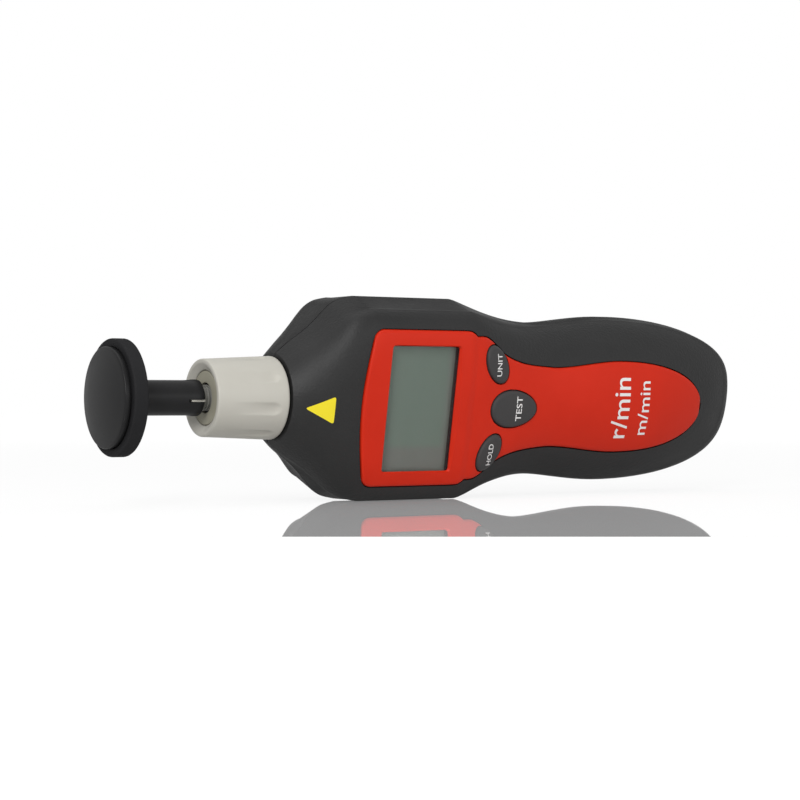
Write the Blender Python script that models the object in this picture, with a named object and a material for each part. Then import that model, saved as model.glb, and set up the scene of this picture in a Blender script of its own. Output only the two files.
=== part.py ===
"""Hand-held contact and optical tachometer, lying on the side of its head.

Everything is modelled in the instrument's own axes and then rolled onto its side by one parent empty:
X runs along the spindle from the wheel towards the handle, -Y points out of the face, Z runs across the width.
Sizes are in millimetres and become metres where the meshes are made.
"""

import math

import bmesh
import bpy
from mathutils import Matrix, Vector

MM = 0.001

# Housing outline, along X from the middle of the head
DRAFT = math.radians(10.5)
NOSE_X = -39.2
SHOULDER_X = -16.0
HEAD_END_X = 17.0
WAIST_X = 47.0
GRIP_X = 75.0
TAIL_X = 127.5
NOSE_RADIUS = 12.7
HEAD_HALF_WIDTH = 29.5
WAIST_HALF_WIDTH = 22.5
GRIP_HALF_WIDTH = 24.85
FACE_HEIGHT = 18.0
GRIP_FACE_HEIGHT = 17.4
HEAD_BACK_DEPTH = 20.0
GRIP_BACK_DEPTH = 13.5
HEAD_WALL_HEIGHT = 10.5
BACK_WALL_HEIGHT = 13.5
GRIP_WALL_HEIGHT = 2.5
SHELL_WALL = 2.1
NOSE_WALL = 2.8
TAIL_WALL = 6.0
GAP = 0.3
FACE_RISE_TRAIL = 6.0
BACK_RISE_TRAIL = 1.0
FACE_FALL_LENGTH = 14.0
BACK_FALL_LEAD = 5.0
TAIL_FALL_LEAD = 5.0
CUT_REACH = 12.0

# Face panel
PANEL_START_X = -17.8
PANEL_BULGE = 2.7
PANEL_CORNER = 3.0
PANEL_HEAD_HALF = 22.4
PANEL_NARROW_X = 13.0
PANEL_WAIST_HALF = 11.6
PANEL_GRIP_X = 72.0
PANEL_GRIP_HALF = 13.5
PANEL_END_X = 105.6
PANEL_POCKET = 1.3
PANEL_PROUD_HEAD = 0.7
PANEL_PROUD_GRIP = 0.35
PANEL_EDGE_ROUND = 0.8
PANEL_SWELL_LENGTH = 9.0
BEZEL_END_X = 14.5
BEZEL_SLOPE = 3.0

# Display
DISPLAY_X = -0.4
DISPLAY_HALF_LENGTH = 11.2
DISPLAY_HALF_WIDTH = 18.0
DISPLAY_BEVEL = 1.1
DISPLAY_CORNER = 0.8
WINDOW_OVERLAP = 1.2
WINDOW_CORNER = 0.7
WINDOW_THICKNESS = 0.85
WINDOW_SEAT = 17.25
MODULE_OVERLAP = 1.7
MODULE_THICKNESS = 2.6
FRAME_WALL = 1.5

# Buttons
MEASURE_X = 31.6
MEASURE_HALF_LENGTH = 8.1
MEASURE_HALF_WIDTH = 5.4
MEASURE_TAPER = 0.12
SIDE_BUTTON_X = 24.5
SIDE_BUTTON_Z = 13.0
SIDE_BUTTON_LONG = 5.9
SIDE_BUTTON_SHORT = 3.7
SIDE_BUTTON_TURN = math.radians(63)
BUTTON_PROUD = 0.9
BUTTON_CLEARANCE = 0.35
BUTTON_FLANGE = 0.9
BUTTON_FLANGE_THICKNESS = 1.0
BUTTON_TRAVEL = 0.6
SWITCH_SIZE = 6.0
SWITCH_HEIGHT = 1.6
SWITCH_PLUNGER_RADIUS = 1.75

# Main board
BOARD_START_X = -18.0
BOARD_STEP_X = 15.0
BOARD_END_X = 43.0
BOARD_SIDE_MARGIN = 5.3
BOARD_TAIL_MARGIN = 7.5
BOARD_HALF_WIDTH = HEAD_HALF_WIDTH - BOARD_SIDE_MARGIN
BOARD_TAIL_HALF_WIDTH = WAIST_HALF_WIDTH - BOARD_TAIL_MARGIN
BOARD_POST_INSET = 2.3
BOARD_TAIL_POST_INSET = 4.0
BOARD_THICKNESS = 1.6
BOARD_FACE = 8.6
BOARD_POSTS = ((-15.9, BOARD_HALF_WIDTH - BOARD_POST_INSET), (40.0, BOARD_TAIL_HALF_WIDTH - BOARD_TAIL_POST_INSET))
BOARD_POST_RADIUS = 2.2
BOARD_SCREW_RADIUS = 0.8
BOARD_SCREW_HEAD_RADIUS = 1.7
BOARD_SCREW_HEAD_HEIGHT = 1.0
BOARD_SCREW_LENGTH = 5.0
BLIND_DEPTH = 1.0

# Nose tube and the optics in it
TUBE_RADIUS = 9.0
TUBE_WALL = 1.8
TUBE_BORE_RADIUS = TUBE_RADIUS - TUBE_WALL
TUBE_FRONT_X = -46.5
TUBE_BACK_X = -30.0
TUBE_FLANGE = 2.0
TUBE_FLANGE_RADIUS = TUBE_RADIUS + TUBE_FLANGE
TUBE_FLANGE_THICKNESS = 1.6
TUBE_SHOULDER = 1.0
LENS_THICKNESS = 1.6
OPTICS_ROOM = TUBE_BORE_RADIUS - TUBE_SHOULDER
OPTICS_Z = OPTICS_ROOM * 0.5
LASER_RADIUS = OPTICS_ROOM * 0.355
LASER_LENGTH = 14.0
SENSOR_RADIUS = OPTICS_ROOM * 0.32
SENSOR_LENGTH = 9.0
HOLDER_LENGTH = 5.0
HOLDER_INSET = 4.5

# Contact adapter
ADAPTER_FRONT_X = -61.1
ADAPTER_FRONT_RADIUS = 10.75
ADAPTER_BACK_RADIUS = 11.75
ADAPTER_EDGE = 1.0
ADAPTER_COLLAR = 2.6
ADAPTER_FLUTES = 8
ADAPTER_FLUTE_RADIUS = 2.6
ADAPTER_FLUTE_DEPTH = 0.7
ADAPTER_FLUTE_TURN = math.radians(-5.0)
ADAPTER_DISH_RADIUS = 9.6
ADAPTER_DISH_DEPTH = 1.2
ADAPTER_FACE_RADIUS = 7.5
ADAPTER_FACE_THICKNESS = 0.9
ADAPTER_HOLE_RADIUS = 4.2
SOCKET_END_GAP = 0.7

# Spindle, bearings and chopper disc
BEARING_RADIUS = 6.5
BEARING_BORE_RADIUS = 2.5
BEARING_WIDTH = 4.0
BEARING_RACE = 0.9
BALL_RADIUS = 0.8
BALL_COUNT = 6
CAGE_WIDTH = 0.6
SPACER_LENGTH = 0.7
RING_LENGTH = 1.3
HUB_CORE_RADIUS = 3.1
HUB_RIB_RADIUS = 3.6
HUB_RIBS = 3
CHOPPER_CLEARANCE = 0.6
CHOPPER_RADIUS = TUBE_BORE_RADIUS - CHOPPER_CLEARANCE
CHOPPER_THICKNESS = 0.6
CHOPPER_NOTCHES = 6
CHOPPER_NOTCH_DEPTH = 2.0

# Surface-speed wheel, 0.1 m round
WHEEL_CIRCUMFERENCE = 100.0
WHEEL_BACK_X = -84.0
TYRE_WIDTH = 4.0
TYRE_DEPTH = 2.2
TYRE_EDGE = 0.5
TYRE_LIP = 0.25
DOME_RADIUS = 13.95
DOME_EDGE = 1.5
DOME_HEIGHT = 1.6
STEM_RADIUS = 4.85
STEM_FLARE = 0.2
STEM_END_X = -62.3
STEM_BORE_DEPTH = 8.3
STEM_SLOT_WIDTH = 0.8
STEM_SLOT_DEPTH = 4.6

# Battery, its connector, tray and door
BATTERY_START_X = -18.0
BATTERY_LENGTH = 46.4
BATTERY_HALF_WIDTH = 13.25
BATTERY_HALF_THICKNESS = 8.75
BATTERY_DEPTH = 4.2
BATTERY_EDGE = 1.2
TERMINAL_Z = 6.35
TERMINAL_RADIUS = 2.9
SOCKET_RADIUS = 3.9
TERMINAL_HEIGHT = 2.0
CONNECTOR_THICKNESS = 4.0
CONNECTOR_HALF_WIDTH = 12.5
CONNECTOR_HALF_THICKNESS = 6.0
TRAY_WALL = 1.2
TRAY_CLEARANCE = 0.4
TRAY_RIM_DEPTH = 12.0
DOOR_LEDGE = 1.8
DOOR_THICKNESS = 0.9
DOOR_MARGIN = 2.0
DOOR_GROOVES = 5
DOOR_GROOVE_PITCH = 2.2
DOOR_GROOVE_WIDTH = 1.0
DOOR_GROOVE_DEPTH = 0.4
DOOR_GROOVE_HALF = 7.0
DOOR_RIM = 1.2
DOOR_RIM_DEPTH = 1.9

# Screws that hold the two shells together
CASE_SCREWS = ((-24.0, 16.5), (113.0, 9.0))
SCREW_RADIUS = 1.2
SCREW_HEAD_RADIUS = 2.4
SCREW_HEAD_HEIGHT = 1.8
SCREW_SEAT_DEPTH = 5.5
SCREW_LENGTH = 10.5
POST_RADIUS = 3.2

ROUND_SIDES = 36
SMALL_SIDES = 20
AXIS_HEIGHT = HEAD_HALF_WIDTH * math.cos(DRAFT)
WHEEL_RADIUS = WHEEL_CIRCUMFERENCE / (2 * math.pi)


def smooth_step(t):
    t = min(1.0, max(0.0, t))
    return t * t * (3 - 2 * t)


def share(x, start, end):
    return min(1.0, max(0.0, (x - start) / (end - start)))


def mix(a, b, t):
    return a + (b - a) * t


def through(points, t):
    """Value at t on a smooth line through (t, value) points that never overshoots them."""
    if t <= points[0][0]:
        return points[0][1]
    if t >= points[-1][0]:
        return points[-1][1]
    widths = [b[0] - a[0] for a, b in zip(points, points[1:])]
    slopes = [(b[1] - a[1]) / w for a, b, w in zip(points, points[1:], widths)]
    tangents = [slopes[0]]
    for left, right in zip(slopes, slopes[1:]):
        tangents.append(0.0 if left * right <= 0 else 2 * left * right / (left + right))
    tangents.append(slopes[-1])
    i = next(k for k in range(len(widths)) if t <= points[k + 1][0])
    u = (t - points[i][0]) / widths[i]
    a, b = points[i][1], points[i + 1][1]
    ta, tb = tangents[i] * widths[i], tangents[i + 1] * widths[i]
    return ((2 * u - 3) * u * u + 1) * a + ((u - 2) * u + 1) * u * ta + (3 - 2 * u) * u * u * b + (u - 1) * u * u * tb


# How the shoulder widens from the nose to the head, as shares of the length and of the rise
SHOULDER_CURVE = [(0, 0), (0.13, 0.10), (0.33, 0.32), (0.54, 0.575), (0.71, 0.775), (0.86, 0.93), (1, 1)]
# How the face panel narrows from the display to the waist, in the same way
PANEL_CURVE = [(0, 1), (0.05, 0.99), (0.095, 0.93), (0.125, 0.855), (0.16, 0.86), (0.21, 0.85), (0.26, 0.79),
               (0.32, 0.66), (0.38, 0.49), (0.46, 0.33), (0.56, 0.2), (0.66, 0.115), (0.8, 0.05), (1, 0)]


def tail_share(x, start):
    return share(x, start, TAIL_X)


def half_width(x):
    if x < SHOULDER_X:
        return mix(NOSE_RADIUS, HEAD_HALF_WIDTH, through(SHOULDER_CURVE, share(x, NOSE_X, SHOULDER_X)))
    if x < WAIST_X:
        return mix(HEAD_HALF_WIDTH, WAIST_HALF_WIDTH, smooth_step(share(x, HEAD_END_X, WAIST_X) ** 0.65))
    if x < GRIP_X:
        return mix(WAIST_HALF_WIDTH, GRIP_HALF_WIDTH, smooth_step(share(x, WAIST_X, GRIP_X) ** 0.85))
    return GRIP_HALF_WIDTH * (1 - tail_share(x, GRIP_X) ** 2) ** (1 / 2.8)


def face_height(x):
    rise = mix(NOSE_RADIUS, FACE_HEIGHT, 1 - (1 - share(x, NOSE_X, SHOULDER_X + FACE_RISE_TRAIL)) ** 3.6)
    level = rise + (GRIP_FACE_HEIGHT - FACE_HEIGHT) * smooth_step(share(x, HEAD_END_X, HEAD_END_X + FACE_FALL_LENGTH))
    return level * (1 - tail_share(x, GRIP_X + TAIL_FALL_LEAD) ** 2) ** 0.62


def back_depth(x):
    rise = mix(NOSE_RADIUS, HEAD_BACK_DEPTH, 1 - (1 - share(x, NOSE_X, SHOULDER_X + BACK_RISE_TRAIL)) ** 3.2)
    level = rise + (GRIP_BACK_DEPTH - HEAD_BACK_DEPTH) * smooth_step(share(x, HEAD_END_X - BACK_FALL_LEAD, WAIST_X + FACE_RISE_TRAIL))
    return level * math.sqrt(1 - tail_share(x, GRIP_X + TAIL_FALL_LEAD) ** 2)


def face_wall(x):
    """Height of the drafted side wall on the face's side of the parting line."""
    rise = HEAD_WALL_HEIGHT * smooth_step(share(x, NOSE_X, SHOULDER_X))
    level = rise + (GRIP_WALL_HEIGHT - HEAD_WALL_HEIGHT) * smooth_step(share(x, HEAD_END_X - BACK_RISE_TRAIL, HEAD_END_X + FACE_FALL_LENGTH - BACK_RISE_TRAIL))
    return level * math.sqrt(1 - tail_share(x, GRIP_X + TAIL_FALL_LEAD) ** 2)


def back_wall(x):
    rise = BACK_WALL_HEIGHT * smooth_step(share(x, NOSE_X, SHOULDER_X + 2 * BACK_RISE_TRAIL) ** 0.75)
    level = rise + (GRIP_WALL_HEIGHT - BACK_WALL_HEIGHT) * smooth_step(share(x, HEAD_END_X - 4 * BACK_RISE_TRAIL, WAIST_X))
    return level * math.sqrt(1 - tail_share(x, GRIP_X + TAIL_FALL_LEAD) ** 2)


def squareness(x, head, grip):
    """Exponent of the section's rounded corner: 2 is an ellipse, and more is squarer."""
    return 2 + (head - 2) * smooth_step(share(x, NOSE_X, SHOULDER_X)) + (grip - head) * smooth_step(share(x, HEAD_END_X, WAIST_X))


class Section:
    """Cross-section of the housing at one place along X, drawn inwards by a wall where one is given."""

    def __init__(self, x, inset=0.0):
        step = 0.2
        lean = [(f(x + step) - f(x - step)) / (2 * step) for f in (half_width, face_height, back_depth)]
        reach = [inset * math.sqrt(1 + k * k) for k in lean]
        self.half = half_width(x) - reach[0]
        self.face = face_height(x) - reach[1]
        self.back = back_depth(x) - reach[2]
        self.wall = min(face_wall(x), 0.7 * self.face)
        self.back_wall = min(back_wall(x), 0.75 * self.back)
        self.corner = squareness(x, 3.7, 2.0)
        self.back_corner = squareness(x, 3.2, 2.4)

    def top_half(self):
        return self.half - self.wall * math.tan(DRAFT)

    def out_at(self, z):
        """Height of the face's surface at z across the width."""
        ratio = min(1.0, abs(z) / self.top_half())
        return self.wall + (self.face - self.wall) * (1 - ratio ** self.corner) ** (1 / self.corner)

    def back_at(self, z):
        half = self.half - self.back_wall * math.tan(DRAFT)
        ratio = min(1.0, abs(z) / half)
        return self.back_wall + (self.back - self.back_wall) * (1 - ratio ** self.back_corner) ** (1 / self.back_corner)

    def quarter(self, wall, depth, corner, turns):
        """(z, height) points from the parting line up to just short of the middle."""
        half = self.half - wall * math.tan(DRAFT)
        points = [(half, wall)]
        for degrees in turns:
            a = math.radians(degrees)
            points.append((half * math.cos(a) ** (2 / corner), wall + (depth - wall) * math.sin(a) ** (2 / corner)))
        return points

    def ring(self, face_turns, back_turns):
        """(y, z) round the whole section, once."""
        face = self.quarter(self.wall, self.face, self.corner, face_turns)
        back = self.quarter(self.back_wall, self.back, self.back_corner, back_turns)
        points = [(0, self.half)] + [(-n, z) for z, n in face] + [(-self.face, 0)]
        points += [(-n, -z) for z, n in reversed(face)] + [(0, -self.half)]
        points += [(n, -z) for z, n in back] + [(self.back, 0)]
        return points + [(n, z) for z, n in reversed(back)]


def surface(x, z):
    """How far the housing's face stands out at a point of the plan."""
    return Section(x).out_at(z)


def mesh_object(name, vertices, faces, material=None):
    mesh = bpy.data.meshes.new(name)
    mesh.from_pydata([Vector(v) * MM for v in vertices], [], faces)
    bm = bmesh.new()
    bm.from_mesh(mesh)
    bmesh.ops.remove_doubles(bm, verts=bm.verts, dist=0.00001)
    bmesh.ops.recalc_face_normals(bm, faces=bm.faces)
    bm.to_mesh(mesh)
    bm.free()
    made = bpy.data.objects.new(name, mesh)
    bpy.context.scene.collection.objects.link(made)
    if material:
        mesh.materials.append(material)
    return made


def loft(name, rings, material=None):
    """Closed solid through rings of equal length, capped flat at both ends."""
    count = len(rings[0])
    vertices = [p for ring in rings for p in ring]
    faces = []
    for i in range(len(rings) - 1):
        for j in range(count):
            k = (j + 1) % count
            faces.append((i * count + j, i * count + k, (i + 1) * count + k, (i + 1) * count + j))
    faces.append(tuple(range(count)))
    faces.append(tuple((len(rings) - 1) * count + j for j in range(count)))
    return mesh_object(name, vertices, faces, material)


def turned(name, profile, material=None, sides=ROUND_SIDES, centre=(0.0, 0.0)):
    """Solid of revolution about a line along X. The profile is a closed loop of (x, radius) points."""
    vertices, faces, rings = [], [], []
    for x, radius in profile:
        if radius < 1e-6:
            rings.append([len(vertices)] * sides)
            vertices.append((x, centre[0], centre[1]))
            continue
        rings.append(list(range(len(vertices), len(vertices) + sides)))
        for k in range(sides):
            a = 2 * math.pi * k / sides
            vertices.append((x, centre[0] + radius * math.cos(a), centre[1] + radius * math.sin(a)))
    for i, ring in enumerate(rings):
        after = rings[(i + 1) % len(rings)]
        for k in range(sides):
            m = (k + 1) % sides
            corners = []
            for v in (ring[k], ring[m], after[m], after[k]):
                if v not in corners:
                    corners.append(v)
            if len(corners) > 2:
                faces.append(tuple(corners))
    return mesh_object(name, vertices, faces, material)


def tube(name, x0, x1, outer, inner, material=None, sides=ROUND_SIDES, centre=(0.0, 0.0)):
    return turned(name, [(x0, inner), (x0, outer), (x1, outer), (x1, inner)], material, sides, centre)


def rod(name, x0, x1, radius, material=None, sides=SMALL_SIDES, centre=(0.0, 0.0)):
    return turned(name, [(x0, 0), (x0, radius), (x1, radius), (x1, 0)], material, sides, centre)


def prism(name, outline, out0, out1, material=None, far=None):
    """Solid from an (x, z) outline, between two heights out of the face. The far end may have its own outline."""
    rings = [[(x, -out0, z) for x, z in outline], [(x, -out1, z) for x, z in far or outline]]
    return loft(name, rings, material)


def post(name, x, z, out0, out1, radius, material=None, sides=SMALL_SIDES):
    """Round post square to the face."""
    return prism(name, circle(x, z, radius, sides), out0, out1, material)


def block(name, x0, x1, out0, out1, z0, z1, material=None):
    return prism(name, [(x0, z0), (x1, z0), (x1, z1), (x0, z1)], out0, out1, material)


def circle(x, z, radius, sides=SMALL_SIDES):
    return [(x + radius * math.cos(2 * math.pi * k / sides), z + radius * math.sin(2 * math.pi * k / sides)) for k in range(sides)]


def combine(target, other, operation):
    """Boolean of two objects, applied at once. The second object is used up."""
    modifier = target.modifiers.new(operation.title(), "BOOLEAN")
    modifier.operation = operation
    modifier.solver = "EXACT"
    modifier.object = other
    bpy.context.view_layer.update()
    evaluated = target.evaluated_get(bpy.context.evaluated_depsgraph_get())
    result = bpy.data.meshes.new_from_object(evaluated)
    target.modifiers.clear()
    old = target.data
    target.data = result
    bpy.data.meshes.remove(old)
    bpy.data.objects.remove(other)
    bm = bmesh.new()
    bm.from_mesh(result)
    bmesh.ops.remove_doubles(bm, verts=bm.verts, dist=0.00000001)
    bm.to_mesh(result)
    bm.free()
    return target


def in_triangles(target):
    """Split the slightly twisted faces, so that a cut across them closes exactly."""
    bm = bmesh.new()
    bm.from_mesh(target.data)
    bmesh.ops.triangulate(bm, faces=bm.faces)
    bm.to_mesh(target.data)
    bm.free()
    return target


def cut(target, *cutters):
    for cutter in cutters:
        combine(target, cutter, "DIFFERENCE")
    return target


def join(target, *others):
    for other in others:
        combine(target, other, "UNION")
    return target


def as_one(pieces):
    """Separate solids kept as one object, for a cutter."""
    bm = bmesh.new()
    for piece in pieces:
        bm.from_mesh(piece.data)
        bpy.data.objects.remove(piece)
    mesh = bpy.data.meshes.new("cutter")
    bm.to_mesh(mesh)
    bm.free()
    made = bpy.data.objects.new("cutter", mesh)
    bpy.context.scene.collection.objects.link(made)
    return made


def finish_round(target, degrees=35):
    target.data.shade_smooth()
    target.data.set_sharp_from_angle(angle=math.radians(degrees))
    return target


def material(name, colour, roughness, metallic=0.0, alpha=1.0):
    made = bpy.data.materials.new(name)
    made.use_nodes = True
    shader = made.node_tree.nodes["Principled BSDF"]
    shader.inputs["Base Color"].default_value = (*colour, 1)
    shader.inputs["Roughness"].default_value = roughness
    shader.inputs["Metallic"].default_value = metallic
    shader.inputs["Alpha"].default_value = alpha
    return made


def housing_stations(start, end):
    """Places along X for the housing's loft: closer where the shape turns, and closest at the tail."""
    nose = [mix(NOSE_X, SHOULDER_X, k) for k in (0.06, 0.16, 0.3, 0.45, 0.6, 0.75, 0.88, 1)]
    head = [mix(SHOULDER_X, HEAD_END_X, k) for k in (0.35, 1)]
    neck = [mix(HEAD_END_X, WAIST_X, k) for k in (0.1, 0.22, 0.36, 0.52, 0.72)]
    grip = [mix(WAIST_X, GRIP_X, k) for k in (0, 0.5, 1)]
    tail = [mix(GRIP_X, TAIL_X, k) for k in (0.2, 0.4, 0.57, 0.7, 0.8, 0.88, 0.94, 0.98)]
    return [start] + [x for x in nose + head + neck + grip + tail if start + 0.6 < x < end - 0.6] + [end]


def housing(name, start, end, inset=0.0):
    """The housing's outer form, or its hollow, which needs fewer faces."""
    stations, face_turns, back_turns = housing_stations(start, end), (5, 14, 25, 37, 50, 63, 76), (8, 22, 38, 56, 74)
    if inset:
        stations = stations[:1] + stations[1:-1:2] + stations[-1:]
        face_turns, back_turns = (9, 26, 47, 70), (14, 38, 65)
    rings = []
    for x in stations:
        rings.append([(x, y, z) for y, z in Section(x, inset).ring(face_turns, back_turns)])
    return loft(name, rings)


def wall_surface(x, z):
    """Height of the inner side of the front shell at a point of the plan."""
    return Section(x, SHELL_WALL).out_at(z)


def shell(name, front, material):
    """One half of the hollow housing, up to its side of the parting line."""
    made = housing(name, NOSE_X, TAIL_X - 0.25)
    cut(made, housing("hollow", NOSE_X + NOSE_WALL, TAIL_X - TAIL_WALL, SHELL_WALL))
    near, far = (-60.0, GAP / 2) if front else (-GAP / 2, 60.0)
    cut(made, block("other half", NOSE_X - 20, TAIL_X + 20, near, far, -60, 60))
    made.data.materials.clear()
    made.data.materials.append(material)
    return made


def boss(x, z, out0, out1, radius):
    """Post that ends inside the thickness of the housing's wall, whichever way the wall slopes."""
    made = post("boss", x, z, out0, out1, radius, None, 12)
    return combine(made, housing("skin", NOSE_X + 1, TAIL_X - 2, SHELL_WALL * 0.45), "INTERSECT")


def panel_half(x, grow=0.0):
    if x < PANEL_NARROW_X:
        half = PANEL_HEAD_HALF
    elif x < WAIST_X:
        half = mix(PANEL_WAIST_HALF, PANEL_HEAD_HALF, through(PANEL_CURVE, share(x, PANEL_NARROW_X, WAIST_X)))
    elif x < PANEL_GRIP_X:
        half = mix(PANEL_WAIST_HALF, PANEL_GRIP_HALF, smooth_step(share(x, WAIST_X, PANEL_GRIP_X)))
    else:
        half = PANEL_GRIP_HALF * (1 - share(x, PANEL_GRIP_X, PANEL_END_X) ** 2) ** 0.53
    if x < PANEL_START_X + PANEL_CORNER:
        short = PANEL_CORNER - (x - PANEL_START_X)
        half -= PANEL_CORNER - math.sqrt(max(0.0, PANEL_CORNER ** 2 - short ** 2))
    return half + grow


def panel_proud(x):
    fall = smooth_step(share(x, BEZEL_END_X, BEZEL_END_X + BEZEL_SLOPE))
    return mix(PANEL_PROUD_HEAD, PANEL_PROUD_GRIP, fall)


def panel_rows():
    corner = [PANEL_START_X + PANEL_CORNER * k for k in (0, 0.1, 0.4, 1)]
    head = [mix(corner[-1], PANEL_NARROW_X, k) for k in (0.4, 1)]
    bezel = [BEZEL_END_X + BEZEL_SLOPE * k for k in (0, 0.3, 0.65, 0.95)]
    neck = [mix(bezel[-1], WAIST_X, k) for k in (0.06, 0.13, 0.2, 0.27, 0.36, 0.5, 0.72)]
    grip = [mix(WAIST_X, PANEL_GRIP_X, k) for k in (0, 0.5, 1)]
    tip = [mix(PANEL_GRIP_X, PANEL_END_X, k) for k in (0.3, 0.52, 0.7, 0.83, 0.92, 0.985)]
    return corner + head + bezel + neck + grip + tip


def panel_slab(name, grow, low, high, material=None):
    """Plate with the face panel's outline, between two heights given as functions of (x, z, distance to the edge)."""
    columns, rows = [], panel_rows()
    for edge, part in ((0, 0), (PANEL_EDGE_ROUND * 0.3, 0.12), (PANEL_EDGE_ROUND, 0.35)):
        columns.append((edge, part, 1.0))
    columns += [(PANEL_EDGE_ROUND, 0.35, 0.6), (PANEL_EDGE_ROUND, 0.35, 0.0)]
    width = 2 * len(columns) - 1
    vertices, faces = [], []
    for high_side in (True, False):
        for i, x in enumerate(rows):
            half = panel_half(x, grow)
            line = []
            for edge, part, fraction in columns:
                inward = min(edge, half * part)
                line.append(((half - inward) * fraction, inward if fraction == 1.0 else PANEL_EDGE_ROUND))
            line = line + [(-z, d) for z, d in reversed(line[:-1])]
            swell = PANEL_BULGE * (1 - smooth_step(share(x, PANEL_START_X, PANEL_START_X + PANEL_SWELL_LENGTH)))
            push = -grow if i == 0 else grow if i == len(rows) - 1 else 0
            for z, distance in line:
                px = x + push - swell * (1 - (z / half) ** 2)
                reach = min(distance, x - PANEL_START_X, (PANEL_END_X - x) * 0.5)
                level = high(px, z, reach) if high_side else low(px, z, reach)
                vertices.append((px, -level, z))
    under = len(rows) * width
    for i in range(len(rows) - 1):
        for j in range(width - 1):
            a = i * width + j
            faces.append((a, a + 1, a + width + 1, a + width))
            faces.append((under + a, under + a + width, under + a + width + 1, under + a + 1))
    for i in range(len(rows) - 1):
        for j in (0, width - 1):
            a = i * width + j
            faces.append((a, a + width, under + a + width, under + a))
    for j in range(width - 1):
        for i in (0, len(rows) - 1):
            a = i * width + j
            faces.append((a, under + a, under + a + 1, a + 1))
    return mesh_object(name, vertices, faces, material)


def rounded_box(x, half_length, half_width, radius, steps=3):
    points = []
    for cx, cz, turn in ((1, 1, 0), (-1, 1, 90), (-1, -1, 180), (1, -1, 270)):
        for k in range(steps):
            a = math.radians(turn + 90 * k / (steps - 1))
            points.append((x + cx * (half_length - radius) + radius * math.cos(a),
                           cz * (half_width - radius) + radius * math.sin(a)))
    return points


def measure_outline(grow=0.0, sides=24):
    points = []
    for k in range(sides):
        a = 2 * math.pi * k / sides
        taper = 1 - MEASURE_TAPER * math.cos(a)
        points.append((MEASURE_X + (MEASURE_HALF_LENGTH + grow) * math.cos(a),
                       (MEASURE_HALF_WIDTH + grow) * math.sin(a) * taper))
    return points


def side_outline(side, grow=0.0, sides=20):
    points = []
    for k in range(sides):
        a = 2 * math.pi * k / sides
        along, across = (SIDE_BUTTON_LONG + grow) * math.cos(a), (SIDE_BUTTON_SHORT + grow) * math.sin(a)
        x = along * math.cos(SIDE_BUTTON_TURN) + across * math.sin(SIDE_BUTTON_TURN)
        z = -along * math.sin(SIDE_BUTTON_TURN) + across * math.cos(SIDE_BUTTON_TURN)
        points.append((SIDE_BUTTON_X + x, side * (SIDE_BUTTON_Z + z)))
    return points


def middle(outline):
    return sum(p[0] for p in outline) / len(outline), sum(p[1] for p in outline) / len(outline)


def key(name, outline, flange_outline, material):
    """Button cap with a flange that stays under the housing, and the height its flange starts from."""
    cx, cz = middle(outline)
    seat = min(wall_surface(x, z) for x, z in flange_outline) - GAP
    bottom = seat - BUTTON_FLANGE_THICKNESS
    rings = [[(x, -bottom, z) for x, z in flange_outline], [(x, -seat, z) for x, z in flange_outline],
             [(x, -seat, z) for x, z in outline]]
    for size, drop in ((1.0, 0.55), (0.95, 0.16), (0.82, 0.0), (0.3, 0.0)):
        ring = []
        for x, z in outline:
            px, pz = cx + (x - cx) * size, cz + (z - cz) * size
            ring.append((px, -(surface(px, pz) + panel_proud(px) + BUTTON_PROUD - drop), pz))
        rings.append(ring)
    return loft(name, rings, material), bottom


def both_sides(spots):
    return [(x, side * z) for x, z in spots for side in (1, -1)]


def door_slab(name, x0, x1, half, low, high, material=None):
    """Rectangular plate that follows the back of the housing, between two depths under its surface."""
    xs = [mix(x0, x1, k / 5) for k in range(6)]
    zs = [half * k for k in (-1, -0.7, 0, 0.7, 1)]
    rings = []
    for x in xs:
        section = Section(x)
        upper = [(x, section.back_at(z) - high, z) for z in zs]
        lower = [(x, section.back_at(z) - low, z) for z in reversed(zs)]
        rings.append(upper + lower)
    return loft(name, rings, material)


def ball(x, y, z, radius, segments=6):
    profile = [(x + radius * math.cos(math.pi * k / 4), radius * math.sin(math.pi * k / 4)) for k in range(5)]
    return turned("ball", profile, None, segments, (y, z))


for thing in list(bpy.data.objects):
    bpy.data.objects.remove(thing)
bpy.context.scene.unit_settings.system = "METRIC"

black = material("Black soft plastic", (0.028, 0.028, 0.03), 0.6)
red = material("Red panel plastic", (0.56, 0.035, 0.02), 0.45)
grey = material("Grey button rubber", (0.06, 0.055, 0.055), 0.7)
pale = material("Pale adapter plastic", (0.5, 0.47, 0.41), 0.5)
window_plastic = material("Clear window", (0.8, 0.82, 0.8), 0.05, 0.0, 0.35)
display_grey = material("Display glass", (0.16, 0.2, 0.17), 0.25)
frame_white = material("White carrier plastic", (0.7, 0.7, 0.68), 0.5)
board_green = material("Board laminate", (0.02, 0.13, 0.05), 0.5)
switch_black = material("Switch plastic", (0.02, 0.02, 0.02), 0.5)
steel = material("Bright steel", (0.6, 0.6, 0.62), 0.28, 1.0)
brass = material("Laser brass", (0.7, 0.5, 0.22), 0.3, 1.0)
lens_glass = material("Red filter glass", (0.35, 0.02, 0.02), 0.05, 0.0, 0.6)
rubber = material("Wheel rubber", (0.025, 0.025, 0.027), 0.75)
wheel_black = material("Wheel plastic", (0.03, 0.03, 0.032), 0.5)
hub_grey = material("Hub rubber", (0.2, 0.2, 0.2), 0.6)
cell_wrap = material("Cell wrap", (0.12, 0.14, 0.2), 0.35)
tray_black = material("Tray plastic", (0.03, 0.03, 0.03), 0.6)

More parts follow.
